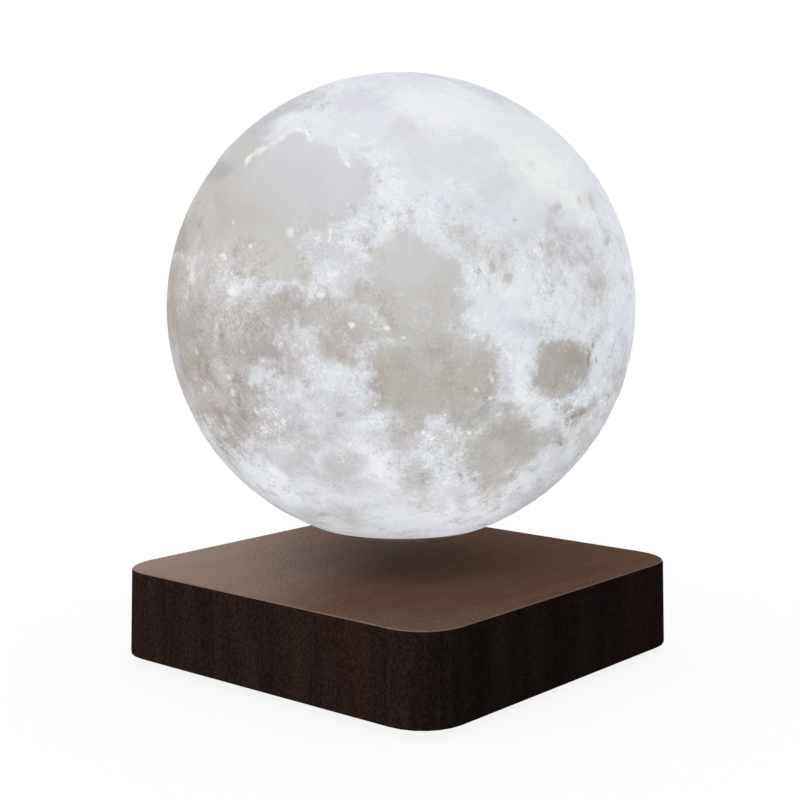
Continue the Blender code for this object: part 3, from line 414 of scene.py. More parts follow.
# Tints of the seas, each over the last: x, y, half width, half height, tone, strength and any lean
SEA_WASHES = (
    (-40, 60, 34, 24, GREY, 1), (-22, 55, 14, 22, LILAC, 0.65), (-36, 68, 16, 8, LILAC, 0.5),
    (-68, 48, 16, 20, CLAY, 0.5, 20), (-80, 36, 16, 22, TAN, 0.4), (-65, 26, 7, 8, TAN, 0.5),
    # The PLUM wash at (-74, 68) is painted shade: the disc darkening towards its upper left limb
    (-74, 68, 9, 22, PLUM, 1, -40), (-50, 20, 12, 13, OLIVE, 0.9), (-42, 36, 9, 8, GREY, 0.7),
    (-62, 34, 12, 9, OLIVE, 0.6), (-97, 8, 10, 42, BARK, 0.9), (-84, -8, 18, 24, BARK, 0.8),
    (-65, -2, 11, 9, BARK, 0.9), (-64, -6, 7, 7, DUN, 0.5), (-66, 6, 5, 4, DUN, 0.5),
    (-68, 40, 12, 9, TAN, 0.35), (-75, -36, 6, 7, BRICK, 0.4), (-55, -14, 9, 9, DUN, 1),
    (-71, 14, 6, 5, BARK, 0.6), (-62, -27, 6, 8, LILAC, 0.8), (-48, 4, 14, 5, BARK, 0.8),
    (-82, -27, 8, 9, BARK, 0.85), (-80, -45, 24, 22, RUST, 0.6), (-90, -25, 5, 8, DUN, 0.5, 10),
    (-97, -22, 4, 8, LILAC, 0.4), (-79, -31, 4, 6, DUN, 0.6), (75, -28, 5, 5, DUN, 0.5),
    (-90, -42, 7, 9, LILAC, 0.25, 20), (-82, -48, 8, 9, BRICK, 0.7, 20), (-73, -58, 7, 6, BRICK, 0.9, -30),
    (-78, 60, 9, 7, SLATE, 0.6), (-34, -10, 5, 4, DUN, 0.5), (-27, -14, 8, 7, DUN, 0.35),
    (-52, 8, 6, 4, DUN, 0.5), (-96, -3, 5, 8, DUN, 0.5), (-74, -26, 6, 9, OLIVE, 0.8),
    (-70, -55, 10, 10, BRICK, 0.4), (-51, -26, 8, 8, BRICK, 0.8), (-43, -29, 6, 7, ROSE, 0.7),
    (-70, -48, 7, 6, BARK, 0.6), (-60, -12, 14, 14, BARK, 0.8), (-62, -32, 12, 14, BARK, 0.6),
    (-45, -2, 14, 8, BARK, 0.7), (-27, -12, 12, 12, RUST, 0.55), (-28, -1, 12, 5, CLAY, 0.6),
    (6, 20, 18, 16, OLIVE, 0.6), (4, 18, 16, 10, GREY, 0.6), (4, 28, 11, 9, GREY, 0.7),
    (18, 14, 10, 14, CLAY, 0.4), (6, -2, 16, 12, CLAY, 0.55), (10, -32, 34, 24, MOSS, 0.9),
    (-2, -26, 9, 9, RUST, 0.45), (26, -30, 14, 14, TAN, 0.5), (27, -17, 7, 6, CLAY, 0.8),
    (22, -45, 20, 8, ROSE, 0.35), (-12, -34, 6, 10, BARK, 1), (-1, -58, 7, 8, CLAY, 0.8),
    (-7, -46, 7, 6, GREY, 0.7), (35, -44, 8, 6, GREY, 0.8), (15, -25, 8, 7, CLAY, 0.4),
    (7, -74, 8, 9, CLAY, 0.8), (42, -58, 18, 14, MOSS, 0.9), (50, -55, 8, 8, SLATE, 0.4),
    (43, -62, 8, 7, CLAY, 0.5), (34, -66, 8, 9, SLATE, 0.4), (40, -76, 8, 8, CLAY, 0.75),
    (68, -26, 15, 16, SLATE, 0.85), (68, -36, 10, 6, TAN, 0.6), (76, -19, 6, 7, DUN, 0.7),
    (42, 53, 9, 8, GREY, 0.9), (22, 63, 30, 12, LILAC, 0.5), (-14, 84, 18, 12, LILAC, 0.9),
    (70, 27, 12, 14, ROSE, 0.9), (42, 20, 8, 8, CLAY, 0.9), (26, 31, 9, 8, CLAY, 0.6),
)

# Tints of the highlands, in the same order of values
LAND_WASHES = (
    (20, -60, 90, 50, SOUTH, 0.6), (16, 82, 34, 11, PALE, 0.9, -8), (48, 72, 22, 20, MINT, 0.6, -30),
    # The thin washes close along the top and upper left of the rim, at (0, 98), (48, 90), (26, 96), (-48,
    # 88), (-66, 70) and (-79, 62), are painted shade: the disc darkening towards its limb
    (-30, 81, 16, 5, RIME, 0.6, 12), (-60, 72, 9, 5, RIME, 0.3, 40), (0, 98, 40, 4, LILAC, 0.3),
    (48, 90, 26, 4, PLUM, 0.35, -30), (26, 96, 26, 3.5, PLUM, 0.35, -15), (-48, 88, 28, 5, PLUM, 0.9, 30),
    (-66, 70, 16, 8, PLUM, 1, 46), (-79, 62, 12, 4, CLAY, 0.6, 52), (44, 5, 26, 17, RIME, 0.7),
    (47, 10, 8, 6, PALE, 0.8), (61, 58, 22, 10, CREAM, 0.7, -42), (30, 72, 20, 10, CREAM, 0.25, -20),
    (33, 69, 7, 6, LILAC, 0.5), (77, 44, 9, 6, CREAM, 0.6, -50), (52, -27, 5, 16, PALE, 0.5, 6),
    (45, -16, 10, 4, PALE, 0.5, -42), (56, -43, 6, 8, PALE, 0.8), (56, -2, 5, 4, PALE, 0.5),
    (53, -8, 8, 4, LILAC, 0.7), (43, -26, 5, 7, LILAC, 0.8, 20), (84, 5, 8, 10, CLAY, 0.35),
    (84, 22, 8, 14, LILAC, 0.25), (94, -30, 4, 9, TAN, 0.9), (64, 5, 8, 6, PALE, 0.7),
    (24, 38, 7, 5, PALE, 0.5), (88, -46, 6, 16, TAN, 0.3, -25), (62, -55, 10, 7, MOSS, 0.75, -20),
    (74, -45, 6, 5, TAN, 0.85), (95, -20, 4, 24, LILAC, 0.5), (80, 46, 6, 6, CLAY, 0.3),
    (-24, 24, 14, 13, GREY, 0.75), (-30, 29, 9, 7, GREY, 0.6), (-10, 37, 6, 12, GREY, 0.6),
    (-13, -5, 7, 6, CLAY, 0.9), (30, -11, 11, 6, CLAY, 0.6, -25), (-36, 27, 9, 9, GREY, 0.8),
    (-17, 34, 7, 9, RIME, 0.5), (-21, 9, 8, 7, ROSE, 0.5), (-4, 50, 6, 10, PALE, 0.6),
    (-2, 36, 7, 5, PALE, 0.7), (-14, 24, 8, 4, PALE, 0.8), (35, 24, 6, 4, PALE, 0.8),
    (4, 44, 22, 6, RIME, 0.5), (30, 40, 18, 8, LILAC, 0.5), (50, 31, 8, 4, CLAY, 0.5),
    (42, 51, 9, 6, GREY, 0.3, 20), (78, 33, 5, 4, TAN, 0.4), (75, 3, 5, 5, LILAC, 0.6),
    (80, -18, 3, 6, PLUM, 0.5), (-16, 88, 14, 6, LILAC, 0.8), (-43, -15, 6, 7, ROSE, 0.5),
    (-35, -20, 5, 8, ROSE, 0.6), (-65, 66, 8, 6, CLAY, 1, 40), (62, 36, 14, 18, LILAC, 0.4),
    (-30, -42, 22, 20, LILAC, 0.35), (-78, 14, 12, 14, LILAC, 0.7), (-72, 7, 4, 4, PALE, 0.3),
    (-66, 5, 4, 4, TAN, 0.8), (-77, 4, 4, 4, TAN, 0.8), (-30, -32, 26, 10, LAND, 0.4),
    (-28, -32, 8, 7, RIME, 0.5), (-52, -34, 8, 6, RIME, 0.4), (-56, -45, 9, 8, ROSE, 1),
    (-48, -50, 18, 12, LILAC, 0.35), (-45, -46, 6, 6, TAN, 0.4), (-44, -66, 9, 6, ROSE, 0.7),
    (-32, -68, 7, 9, ROSE, 0.3), (-33, -52, 8, 8, RIME, 0.5), (-24, -66, 10, 8, ROSE, 0.85, 20),
    (-61, -64, 8, 6, ROSE, 0.9), (-72, -58, 7, 5, BRICK, 0.8, -40), (-13, -11, 5, 4, TAN, 0.9),
    (-19, -31, 3, 5, TAN, 0.4), (-20, -23, 5, 4, ICE, 0.5), (0, 79, 9, 5, LILAC, 0.6),
    (-15, -57, 7, 6, PALE, 0.3), (-10, -76, 12, 6, PALE, 0.5), (-38, -34, 10, 6, RIME, 0.6),
    # The ICE and GLOW washes low on the rim, at (-60, -71), (-50, -78), (-56, -75), (36, -84), (47, -76),
    # (8, -90) and (26, -88), are painted light that lifts the shade on the lower limb
    (-3, -88, 20, 4, PALE, 0.4), (-44, -86, 12, 5, GREY, 0.5, -20), (-60, -71, 18, 8, ICE, 0.9, -46),
    (-76, -56, 9, 4, TAN, 0.5, -48), (-16, -76, 9, 4, GREY, 0.6), (84, 12, 6, 9, CLAY, 0.6),
    (-50, -78, 12, 7, ICE, 0.9, -35), (-56, -75, 9, 5, GLOW, 0.8, -42), (36, -84, 9, 6, GLOW, 1, 20),
    (-36, -85, 8, 4, GREY, 0.4, -15), (-24, -76, 6, 4, GREY, 0.6), (-14, -66, 6, 5, LILAC, 0.6),
    (-36, -35, 6, 4, ROSE, 0.5), (45, -75, 6, 4, PALE, 0.6, 20), (54, -36, 6, 6, GLOW, 0.9),
    (-55, -52, 10, 7, ROSE, 0.9), (-41, -56, 10, 6, ROSE, 0.7), (-27, -50, 10, 7, GREY, 0.7),
    (-12, -41, 6, 4, TAN, 0.9), (-11, -47, 5, 4, ICE, 0.8), (-8, -54, 5, 4, GREY, 0.8),
    (2, -57, 7, 5, ROSE, 0.7), (10, -67, 7, 5, ROSE, 0.5), (28, -82, 8, 4, GREY, 0.6),
    (79, -56, 7, 6, CLAY, 0.7, -40), (66, -64, 7, 5, LILAC, 0.8, -40), (47, -76, 9, 6, ICE, 1, 20),
    (36, -78, 5, 4, PALE, 0.6), (8, -90, 22, 7, ICE, 1), (-26, -88, 12, 4, CLAY, 0.7, -12),
    (-8, -66, 7, 9, GLOW, 0.8), (-24, -46, 9, 14, GREY, 0.8), (-22, -16, 6, 5, ROSE, 0.8),
    (-52, 8, 6, 3, TAN, 0.9), (-81, 16, 7, 8, TAN, 0.9), (25, -65, 6, 9, CLAY, 0.7),
    (-13, -50, 9, 5, RIME, 0.6), (18, -55.5, 11, 5, OLIVE, 0.7), (20, -66, 6, 5, RIME, 0.5),
    (26, -88, 26, 7, ICE, 1, 16), (27, -83, 4, 3, CLAY, 0.5), (49, -81, 6, 4, GREY, 0.7, 30),
    (-2, -90, 16, 5, RIME, 0.6), (-10, -97, 26, 3, LILAC, 0.5), (54, -73, 8, 6, RIME, 0.5, -20),
    (62, -76, 16, 4, LILAC, 0.6, 42),
)

# Craters with bright rays: x, y, number of strokes, reach in metres and strength
RAYS = (
    (-71.5, 7.5, 30, 0.024, 0.65), (-91, 13, 24, 0.016, 0.6), (50.2, -24.4, 7, 0.011, 0.5),
)

# How gritty the ground looks, from 0, smooth: x, y, half width, half height, level and any lean
GRIT = (
    (20, 74, 60, 26, 0.28), (-66, 72, 26, 10, 0.25, 46), (60, 55, 30, 26, 0.4), (-35, 58, 30, 18, 0.12),
    (-60, 45, 16, 18, 0.3), (8, 20, 18, 14, 0.5), (45, 2, 18, 14, 0.55), (8, -32, 28, 20, 0.95),
    (45, -60, 18, 16, 0.95), (68, -26, 10, 11, 0.75), (-75, -38, 22, 34, 1.5), (-72, 12, 18, 14, 1.2),
    (-9, 46, 11, 24, 1), (-24, 20, 16, 16, 1), (-20, -70, 40, 22, 0.8), (36, 16, 9, 9, 1.4),
    (66, 16, 14, 20, 1.05), (74, -40, 14, 12, 1.5), (18, -64, 18, 14, 1.35), (24, -47, 14, 7, 1.3),
)

# Small marks over land and sea: x, y, half width, half height, tone, strength and any lean
MARKS = (
    (-38.5, 72, 1, 1.3, GLOW, 1), (-25.2, 66.3, 0.7, 3.4, GLOW, 0.9, 24),
    (-22.4, 61.4, 0.9, 1.6, GLOW, 0.8, 30), (-65.4, 62.6, 2, 0.9, GLOW, 0.85, 55),
    (-62, 65.6, 1.8, 0.7, PALE, 0.6, 45), (-58.6, 68, 2.2, 0.9, GLOW, 0.75, 36),
    (-54.4, 70.6, 2, 0.7, PALE, 0.6, 33), (-50.4, 73, 2.2, 0.9, GLOW, 0.75, 34),
    (-46.6, 75.4, 2.2, 0.7, PALE, 0.6, 30), (-42.6, 76.2, 2, 0.9, GLOW, 0.75, -5),
    (-39.8, 74.6, 1.6, 0.9, GLOW, 0.9, -55), (-57, 73, 8, 2, RIME, 0.5, 36),
    (-60, 66, 3, 1.4, RIME, 0.4, 38), (-19.8, 73, 2.4, 1, PALE, 0.7, -10),
    (-11.4, 71.6, 1.6, 1, PALE, 0.6, -40), (-9, 66, 0.9, 2.4, PALE, 0.6, 20),
    (-15.3, 68, 4.4, 2.9, GLOW, 0.6), (-15.3, 67.9, 2.8, 1.5, LILAC, 1), (-15.3, 67.9, 2, 1, LILAC, 1),
    (-13, 63.5, 0.8, 3.6, PALE, 0.8, 42), (-11, 61, 1.3, 1, GLOW, 0.7), (-4, 66, 3.6, 2.6, PALE, 0.6),
    (19, 54, 3.4, 2, GLOW, 0.65, 10), (22, 51, 1.6, 1.8, GLOW, 0.6), (2.5, 65, 2.8, 2, GREY, 0.4),
    (-7, 52, 4.5, 6.5, PALE, 0.35), (8, 43, 9, 3, PALE, 0.4), (-3, 38, 5, 4, PALE, 0.4),
    (-9, 29, 4, 3, PALE, 0.5, 30), (7, 46, 1.2, 1.2, CLAY, 0.9), (-6.6, 37.5, 1, 1.6, CLAY, 0.9),
    (31, 38, 2.4, 3.2, PALE, 0.5, 10), (30, 35, 1.4, 1.4, ROSE, 0.9), (33, 33.5, 2.6, 1.6, PALE, 0.7),
    (47, 38.3, 1.8, 0.9, PALE, 0.8, 15), (48.6, 38, 1, 0.7, TAN, 0.9), (61.5, 24, 3, 6, TAN, 0.6),
    (67, 12, 1.6, 5, ROSE, 0.5, -20), (73, 21, 2.4, 5, TAN, 0.3, 20), (79, 23, 2.6, 4.6, ROSE, 0.7),
    (67, 33, 2.4, 3.6, TAN, 0.35, 20), (66.5, 44, 1.8, 2.2, CLAY, 0.8), (76.5, 46, 1.8, 2.4, ROSE, 0.5, 30),
    (82, 46, 1.8, 3.4, ROSE, 0.6, 20), (87.5, 27.5, 1.2, 2.2, ROSE, 0.8), (84, 11, 2, 2.4, TAN, 0.7),
    (87, 10, 1.2, 3, TAN, 0.6), (83, 3, 4, 3, ROSE, 0.7), (78, 13, 2.4, 4.4, TAN, 0.6),
    (61.5, 12, 2.2, 2.2, ROSE, 0.4), (39, 18, 2, 3, TAN, 0.7), (43.5, 23, 2.2, 2.2, ROSE, 0.8),
    (46, 14, 2, 1.8, ROSE, 0.8), (40.5, 14.5, 2.4, 1, GLOW, 0.7), (32.5, 23, 1.8, 2, PALE, 0.6),
    (28.5, 13, 1.8, 2.4, GLOW, 0.6), (32.5, -3.3, 1.3, 1.6, GLOW, 1), (36.3, -2, 0.9, 3.2, GLOW, 0.9, -10),
    (67, -3, 1.1, 1.6, GLOW, 0.9), (56, -3, 2, 1.6, GLOW, 0.4), (50.2, -24.4, 1.4, 1.4, GLOW, 1),
    (45.6, -18.8, 7.5, 0.9, GLOW, 0.95, -51), (51, -32, 0.9, 8, GLOW, 0.85, 4),
    (54, -21.5, 4.6, 0.9, GLOW, 0.75, 32), (52.5, -31, 2.4, 8, PALE, 0.3, -8),
    (39.5, -15, 3, 1.2, PALE, 0.8, 25), (56.5, -25, 0.8, 2.6, GLOW, 0.7, 10),
    (60, -41, 4, 1.2, PALE, 0.6, -10), (70.2, -12.5, 0.9, 1, GLOW, 0.9), (24, -8, 3, 5, PALE, 0.15),
    (23.5, -15.5, 1.2, 1.4, GLOW, 0.8), (37.5, -12, 1.4, 3, ROSE, 0.5), (49, -11, 2, 1.6, ROSE, 0.5),
    (82.5, -15, 0.7, 3, SOOT, 0.8, -15), (83.8, -21, 0.7, 2.6, SOOT, 0.6, 10),
    (81.2, -18.3, 0.8, 1.3, SOOT, 1, 20), (80.5, -23, 0.8, 3, SOOT, 0.7), (88.5, -37, 0.8, 0.8, SOOT, 0.7),
    (73.5, -43.5, 2.2, 1.2, GLOW, 0.8, 20), (73.5, -46.2, 3, 0.9, SOOT, 1, 25),
    (70.8, -49, 0.6, 2, SOOT, 0.9), (78, -44, 1.6, 3, DUN, 0.8, 20), (67, -55.5, 1.6, 3, MOSS, 0.9, -15),
    (68, -58, 1, 0.8, SOOT, 0.7, 30), (60, -58, 3.4, 3, CLAY, 0.5), (-12.9, -35.5, 1, 1.8, GLOW, 1),
    (-9.5, -39.5, 2.4, 1.6, GLOW, 0.2), (-11.5, -40.3, 1.6, 1, RUST, 0.6), (9.3, -53, 1, 0.8, GLOW, 1, 20),
    (13.5, -49, 3.4, 1.2, PALE, 0.8, 35), (29, -52.8, 0.8, 0.8, GLOW, 0.9),
    (43, -45.6, 2.2, 1, PALE, 0.6, 20), (32, -34.8, 0.9, 0.9, PALE, 0.9),
    (38.5, -38.5, 1.4, 0.9, GLOW, 0.8, 20), (38.5, -30, 1, 3.2, PALE, 0.7, 20),
    (26.3, -71.5, 0.5, 2.2, SOOT, 1, 28), (31.5, -72.5, 0.8, 2, DUN, 0.6), (1, -12, 1.4, 0.8, PALE, 0.7),
    (2, -15, 7, 1, OLIVE, 0.8, 5), (-6.5, -8, 1.8, 1.1, GLOW, 1, -30), (-11, -2.8, 0.8, 5.2, PALE, 0.7, 38),
    (-21.4, -7, 1.1, 1.4, GLOW, 1), (-18, 8, 2.2, 4, TAN, 0.5), (-18, 3, 5, 1.4, TAN, 0.6),
    (-29.5, 13.5, 1.8, 3, GLOW, 0.7), (-34, 7, 1.6, 2.4, GLOW, 0.7), (-23, 27, 2.6, 4, PALE, 0.6),
    (-21, 36, 1.4, 3, PALE, 0.6), (-33, 19, 8, 2, RIME, 0.5, -30), (-63.9, 27, 0.8, 1.3, GLOW, 1, -20),
    (-71, 37, 0.6, 1.6, PALE, 0.8), (-47.5, 33, 1.8, 2, RIME, 0.7), (-37, 30.6, 0.9, 0.8, GLOW, 0.9),
    (-41.5, 30.5, 1, 0.9, PALE, 0.8), (-29.6, 40.3, 0.7, 1, PALE, 0.7), (-22.8, 44.6, 1, 0.8, PALE, 0.7),
    (-51, 11.6, 3.4, 0.8, PALE, 0.8, -12), (-45.8, 10.8, 0.8, 0.9, GLOW, 0.8),
    (-76.5, 23, 2.2, 1.2, GLOW, 0.8, -20), (-77.4, 17, 1.4, 4, PALE, 0.5), (-70, 16, 1.2, 4, RIME, 0.35),
    (-72, 7, 1.8, 2.2, GLOW, 1), (-67, 9, 5, 2.2, RIME, 0.15, -15), (-66, 4.5, 4, 2, RIME, 0.4, -25),
    (-90, 16, 2.2, 7, RIME, 0.8, -8), (-92, 6, 1.2, 1.6, PALE, 0.8), (-86, 27, 1, 1.4, RIME, 0.7),
    (-78.5, -6, 1.4, 5, RIME, 0.7, -12), (-74, -9, 0.8, 5, OLIVE, 0.9), (-86, -9.3, 1.4, 1.2, DUN, 0.9),
    (-76.5, -12, 1.4, 2, SOOT, 0.7), (-88, -18, 2, 2, RIME, 0.5), (-84, -34, 2, 1.8, RIME, 0.7),
    (-73.2, -29, 0.8, 3, GLOW, 0.8, 32), (-71.5, -30.5, 0.9, 0.8, SOOT, 1),
    (-71.8, -37, 1.1, 3, PALE, 0.7, 10), (-69.2, -38.5, 0.8, 4, SOOT, 0.8), (-67.3, -33, 0.9, 4, DUN, 0.9),
    (-74.5, -42, 0.8, 2.6, DUN, 0.8), (-77, -39, 4, 5, ROSE, 0.5), (-64, -31.5, 1.2, 1, GLOW, 0.7),
    (-62, -28, 3.6, 4.6, RIME, 0.8), (-50, -26, 3.2, 3.4, RUST, 0.8, -20),
    (-47, -22, 2.6, 1.8, RUST, 0.6, -20), (-50.5, -24, 0.5, 3.4, RIME, 0.6, 60),
    (-57, -22, 3, 1.4, RIME, 0.6, -30), (-40, -14, 1, 3, GLOW, 0.6, 10), (-47, -17, 4, 3.4, LILAC, 0.5),
    (-25.5, -44.5, 2, 1.6, RUST, 0.8, 20), (-52, -59, 3, 3, RUST, 0.3), (-40, -64, 3.4, 3, ROSE, 0.6),
    (-45.5, -70, 2.4, 2.8, ROSE, 0.4), (-47, -58.5, 2, 1.6, GLOW, 0.6), (-35, -46.5, 2.6, 2, PALE, 0.6),
    (-34.5, -37.5, 1.2, 0.9, GLOW, 0.7, 20), (-36, -62, 3, 0.9, PALE, 0.6, -10),
    (-34, -87.5, 2.4, 1.2, TAN, 0.8), (-16, -71, 2, 1.2, GLOW, 0.6, 30), (17, -78, 2, 2, PALE, 0.5),
    (36.5, -82.5, 1.4, 0.8, TAN, 0.7),
)

# The far side, as directions from the globe's centre: x, y, z, radius in degrees and tone
FAR_SEAS = (
    (-0.75, 0.55, 0.3, 9, CLAY), (-0.55, 0.4, -0.7, 22, TAN), (-0.2, 0.95, 0.15, 7, OLIVE),
    (0.35, 0.9, -0.25, 9, TAN), (-0.9, 0.05, 0.4, 6, CLAY), (-0.92, -0.2, -0.25, 10, CLAY),
    (0.55, 0.8, 0.3, 8, CLAY), (-0.35, 0.6, 0.72, 7, GREY),
)

# Ray craters of the far side: x, y, z, number of strokes, reach in metres and strength
FAR_RAYS = (
    (-0.3, 0.88, -0.05, 16, 0.024, 0.7), (0.62, 0.7, -0.12, 14, 0.018, 0.6),
    (-0.85, 0.42, 0.02, 14, 0.016, 0.6), (0.1, 0.75, 0.62, 12, 0.018, 0.55),
)

# Noises over the globe: largest cell in mm, octaves, seed and any gain
SWAY_ACROSS = (8.0, 4, 11)
SWAY_UP = (8.0, 4, 23)
MOTTLE = (12.0, 4, 83, 0.6)
CLOUDS = (34.0, 3, 131)
GROUND = (5.0, 5, 171, 0.6)
# How far noise shifts the tints, the shores by their raggedness, and the marks, in percent
WASH_DRIFT = 5.0
SHORE_DRIFT = 2.2
MARK_DRIFT = 1.2
SMALLEST_MARK = 0.9
# Where a tint, grit or a mark starts and is whole, with 1 on its outline
WASH_EDGE = (1.3, 0.4)
GRIT_EDGE = (1.3, 0.5)
MARK_EDGE = (1.9, 0.1)
# The depth past a shore at which it is open land or open sea
DEEP = 9.0
# Degrees past the limb between which the map gives way to the far side, and how noise shifts them
FADE = (10.0, 26.0)
FADE_CLOUDS = 16.0
FADE_DRIFT = 8.0
# Tints of its land: the level of noise where each starts and is whole, and its tone
FAR_WASHES = ((0.08, 0.40, ROSE), (-0.08, -0.40, GLOW))
FAR_TINT = 0.8
# Half width of its shores, and how noise shifts them, in degrees
FAR_SHORE = 2.0
FAR_DRIFT = 6.0
FAR_MOTTLE = 5.0
# Percent of the disc's radius for a degree past the limb
HIDDEN_STEP = 1.2


# Noise and shapes of the map

def lattice(points, cell, seed):
    """Smooth noise between -1 and 1 on a lattice of cells."""
    random = np.random.default_rng(seed)
    table = random.permutation(256)
    values = random.uniform(-1.0, 1.0, 256)
    scaled = points / cell
    low = np.floor(scaled).astype(np.int64)
    part = scaled - low
    part = part**3 * (part * (part * 6 - 15) + 10)
    total = np.zeros(len(points))
    for corner in range(8):
        step = np.array([corner & 1, corner >> 1 & 1, corner >> 2 & 1])
        at = (low + step) & 255
        weight = np.prod(np.where(step, part, 1 - part), axis=1)
        key = table[(table[(table[at[:, 0]] + at[:, 1]) & 255] + at[:, 2]) & 255]
        total += weight * values[key]
    return total


def fractal(points, cell, octaves, seed, gain=0.5):
    """Octaves of noise over each other, each half as large as the last."""
    total, size, whole = 0.0, 1.0, 0.0
    for i in range(octaves):
        total = total + size * lattice(points, cell / 2**i, seed + i)
        whole += size
        size *= gain
    return total / whole


def smooth(value, low, high):
    t = np.clip((value - low) / (high - low), 0.0, 1.0)
    return t * t * (3 - 2 * t)


def lengths(rows):
    """The length of each row, as a column."""
    return np.linalg.norm(rows, axis=1)[:, None]


def angles(cosines):
    return np.arccos(np.clip(cosines, -1, 1))


def inside_distance(x, y, outline):
    """Distance to a closed outline, positive inside it."""
    points = np.array(outline, float).reshape(-1, 2)
    nearest = np.full(len(x), np.inf)
    inside = np.zeros(len(x), bool)
    for (ax, ay), (bx, by) in zip(points, np.roll(points, -1, axis=0)):
        dx, dy = bx - ax, by - ay
        t = np.clip(((x - ax) * dx + (y - ay) * dy) / (dx * dx + dy * dy), 0, 1)
        nearest = np.minimum(nearest, np.hypot(x - ax - t * dx, y - ay - t * dy))
        if dy:
            crosses = (ay > y) != (by > y)
            inside ^= crosses & (x < ax + (y - ay) * dx / dy)
    return np.where(inside, nearest, -nearest)


def spread(x, y, cx, cy, rx, ry, lean=0):
    """Distance from an ellipse's middle, 1 on its outline."""
    a = math.radians(lean)
    u = (x - cx) * math.cos(a) + (y - cy) * math.sin(a)
    v = (y - cy) * math.cos(a) - (x - cx) * math.sin(a)
    return np.hypot(u / rx, v / ry)


def disc_axes():
    """From the moon's centre: the way to the camera, across and up the disc, and the rim's cosine."""
    right = np.array(camera_axes()[0])
    sight = np.array(camera_place() - MOON_CENTRE)
    distance = np.linalg.norm(sight)
    sight /= distance
    across = right - right @ sight * sight
    across /= np.linalg.norm(across)
    return sight, across, np.cross(sight, across), MOON_RADIUS / distance


def disc_places(directions):
    """Where unit directions from the moon's centre lie on the disc that the camera sees, in percent.

    Returns x, y and the degrees past the limb.
    """
    sight, across, upward, rim = disc_axes()
    toward = directions @ sight
    x, y = directions @ across, directions @ upward
    radius = np.hypot(x, y)
    scale = 100 * math.sqrt(1 - rim * rim) / (1 - rim * np.clip(toward, rim, 1.0))
    behind = np.degrees(angles(toward)) - np.degrees(math.acos(rim))
    reach = np.where(toward < rim, 100 + behind * HIDDEN_STEP, radius * scale)
    unit = np.maximum(radius, 1e-9)
    return x / unit * reach, y / unit * reach, behind


def disc_direction(x, y):
    """The direction from the moon's centre to a place on the disc, the other way round."""
    sight, across, upward, rim = disc_axes()
    reach, slant = math.hypot(x, y) / 100, math.sqrt(1 - rim * rim)
    angle = math.asin(reach / math.hypot(slant, reach * rim)) - math.atan2(reach * rim, slant)
    level = across * x + upward * y
    return Vector(sight * math.cos(angle) + level / np.linalg.norm(level) * math.sin(angle))


def tint(layer, weight, shade):
    """Moves a layer of colours towards a tone."""
    layer += weight[:, None] * (linear(shade) - layer)


def paint(points, x, y, behind):
    """The map's fields at points given in mm, from their places on the disc.

    Returns the land's, the seas' and the marks' colours, each with a fourth value: how gritty the ground
    is, how strong the sea is and how strong the mark is. Then come the depth past the shore, and 1 on the
    far side.
    """
    noises = (SWAY_ACROSS, SWAY_UP, MOTTLE, CLOUDS)
    sway_x, sway_y, mottle, clouds = (fractal(points, *noise) for noise in noises)
    land = np.tile(linear(LAND), (len(x), 1))
    sea = np.tile(linear(CLAY), (len(x), 1))
    wx, wy = x + WASH_DRIFT * sway_x, y + WASH_DRIFT * sway_y
    for layer, washes in ((land, LAND_WASHES), (sea, SEA_WASHES)):
        for cx, cy, rx, ry, shade, strength, *lean in washes:
            tint(layer, strength * smooth(spread(wx, wy, cx, cy, rx, ry, *lean), *WASH_EDGE), shade)
    depth = np.full(len(x), -DEEP)
    cover = np.ones(len(x))
    for softness, ragged, strength, outline in SEAS.values():
        bend = ragged * SHORE_DRIFT
        own = inside_distance(x + bend * sway_x, y + bend * sway_y, outline) / softness
        cover = np.where(own > depth, strength, cover)
        depth = np.maximum(depth, own)
    near = 1 - smooth(behind + FADE_CLOUDS * clouds + FADE_DRIFT * sway_x, *FADE)
    depth = -DEEP + near * (depth + DEEP)
    for low, high, shade in FAR_WASHES:
        tint(land, (1 - near) * FAR_TINT * smooth(clouds, low, high), shade)
    directions = points / lengths(points)
    for *centre, degrees, shade in FAR_SEAS:
        centre = np.array(centre) / np.linalg.norm(centre)
        own = degrees - np.degrees(angles(directions @ centre)) + FAR_DRIFT * sway_x + FAR_MOTTLE * mottle
        tint(sea, (1 - near) * smooth(own, -FAR_SHORE, FAR_SHORE), shade)
        depth = np.maximum(depth, np.where(near < 0.5, own, -DEEP))
    grit = np.ones(len(x))
    for cx, cy, rx, ry, level, *lean in GRIT:
        weight = near * smooth(spread(wx, wy, cx, cy, rx, ry, *lean), *GRIT_EDGE)
        grit += weight * (level - grit)
    mark = np.zeros((len(x), 3))
    weight = np.zeros(len(x))
    mx, my = x + MARK_DRIFT * sway_x, y + MARK_DRIFT * sway_y
    for cx, cy, rx, ry, shade, strength, *lean in MARKS:
        reach = spread(mx, my, cx, cy, max(rx, SMALLEST_MARK), max(ry, SMALLEST_MARK), *lean)
        own = near * strength * smooth(reach, *MARK_EDGE)
        mark = mark * (1 - own)[:, None] + own[:, None] * linear(shade)
        weight = weight * (1 - own) + own
    mark /= np.maximum(weight, 1e-6)[:, None]
    fields = [np.column_stack(pair) for pair in ((land, grit), (sea, cover), (mark, weight))]
    return (*fields, np.clip(depth, -DEEP, DEEP), 1 - near)


# The moon's shell

SKIN_STEPS = 92
SKIN_DROP = 0.00006
SEA_DROP = 0.00030
ROUGH_HEIGHT = 0.00022
SEA_CALM = 0.75
# Angles from straight down over which the relief sets in
RELIEF_START = (math.radians(24.0), math.radians(31.0))
PIT_COUNT = 520
PIT_SEED = 2024
# Radii of the pits, and how far small ones outnumber large ones
PIT_DEGREES = (0.55, 3.2)
PIT_POWER = 3.2
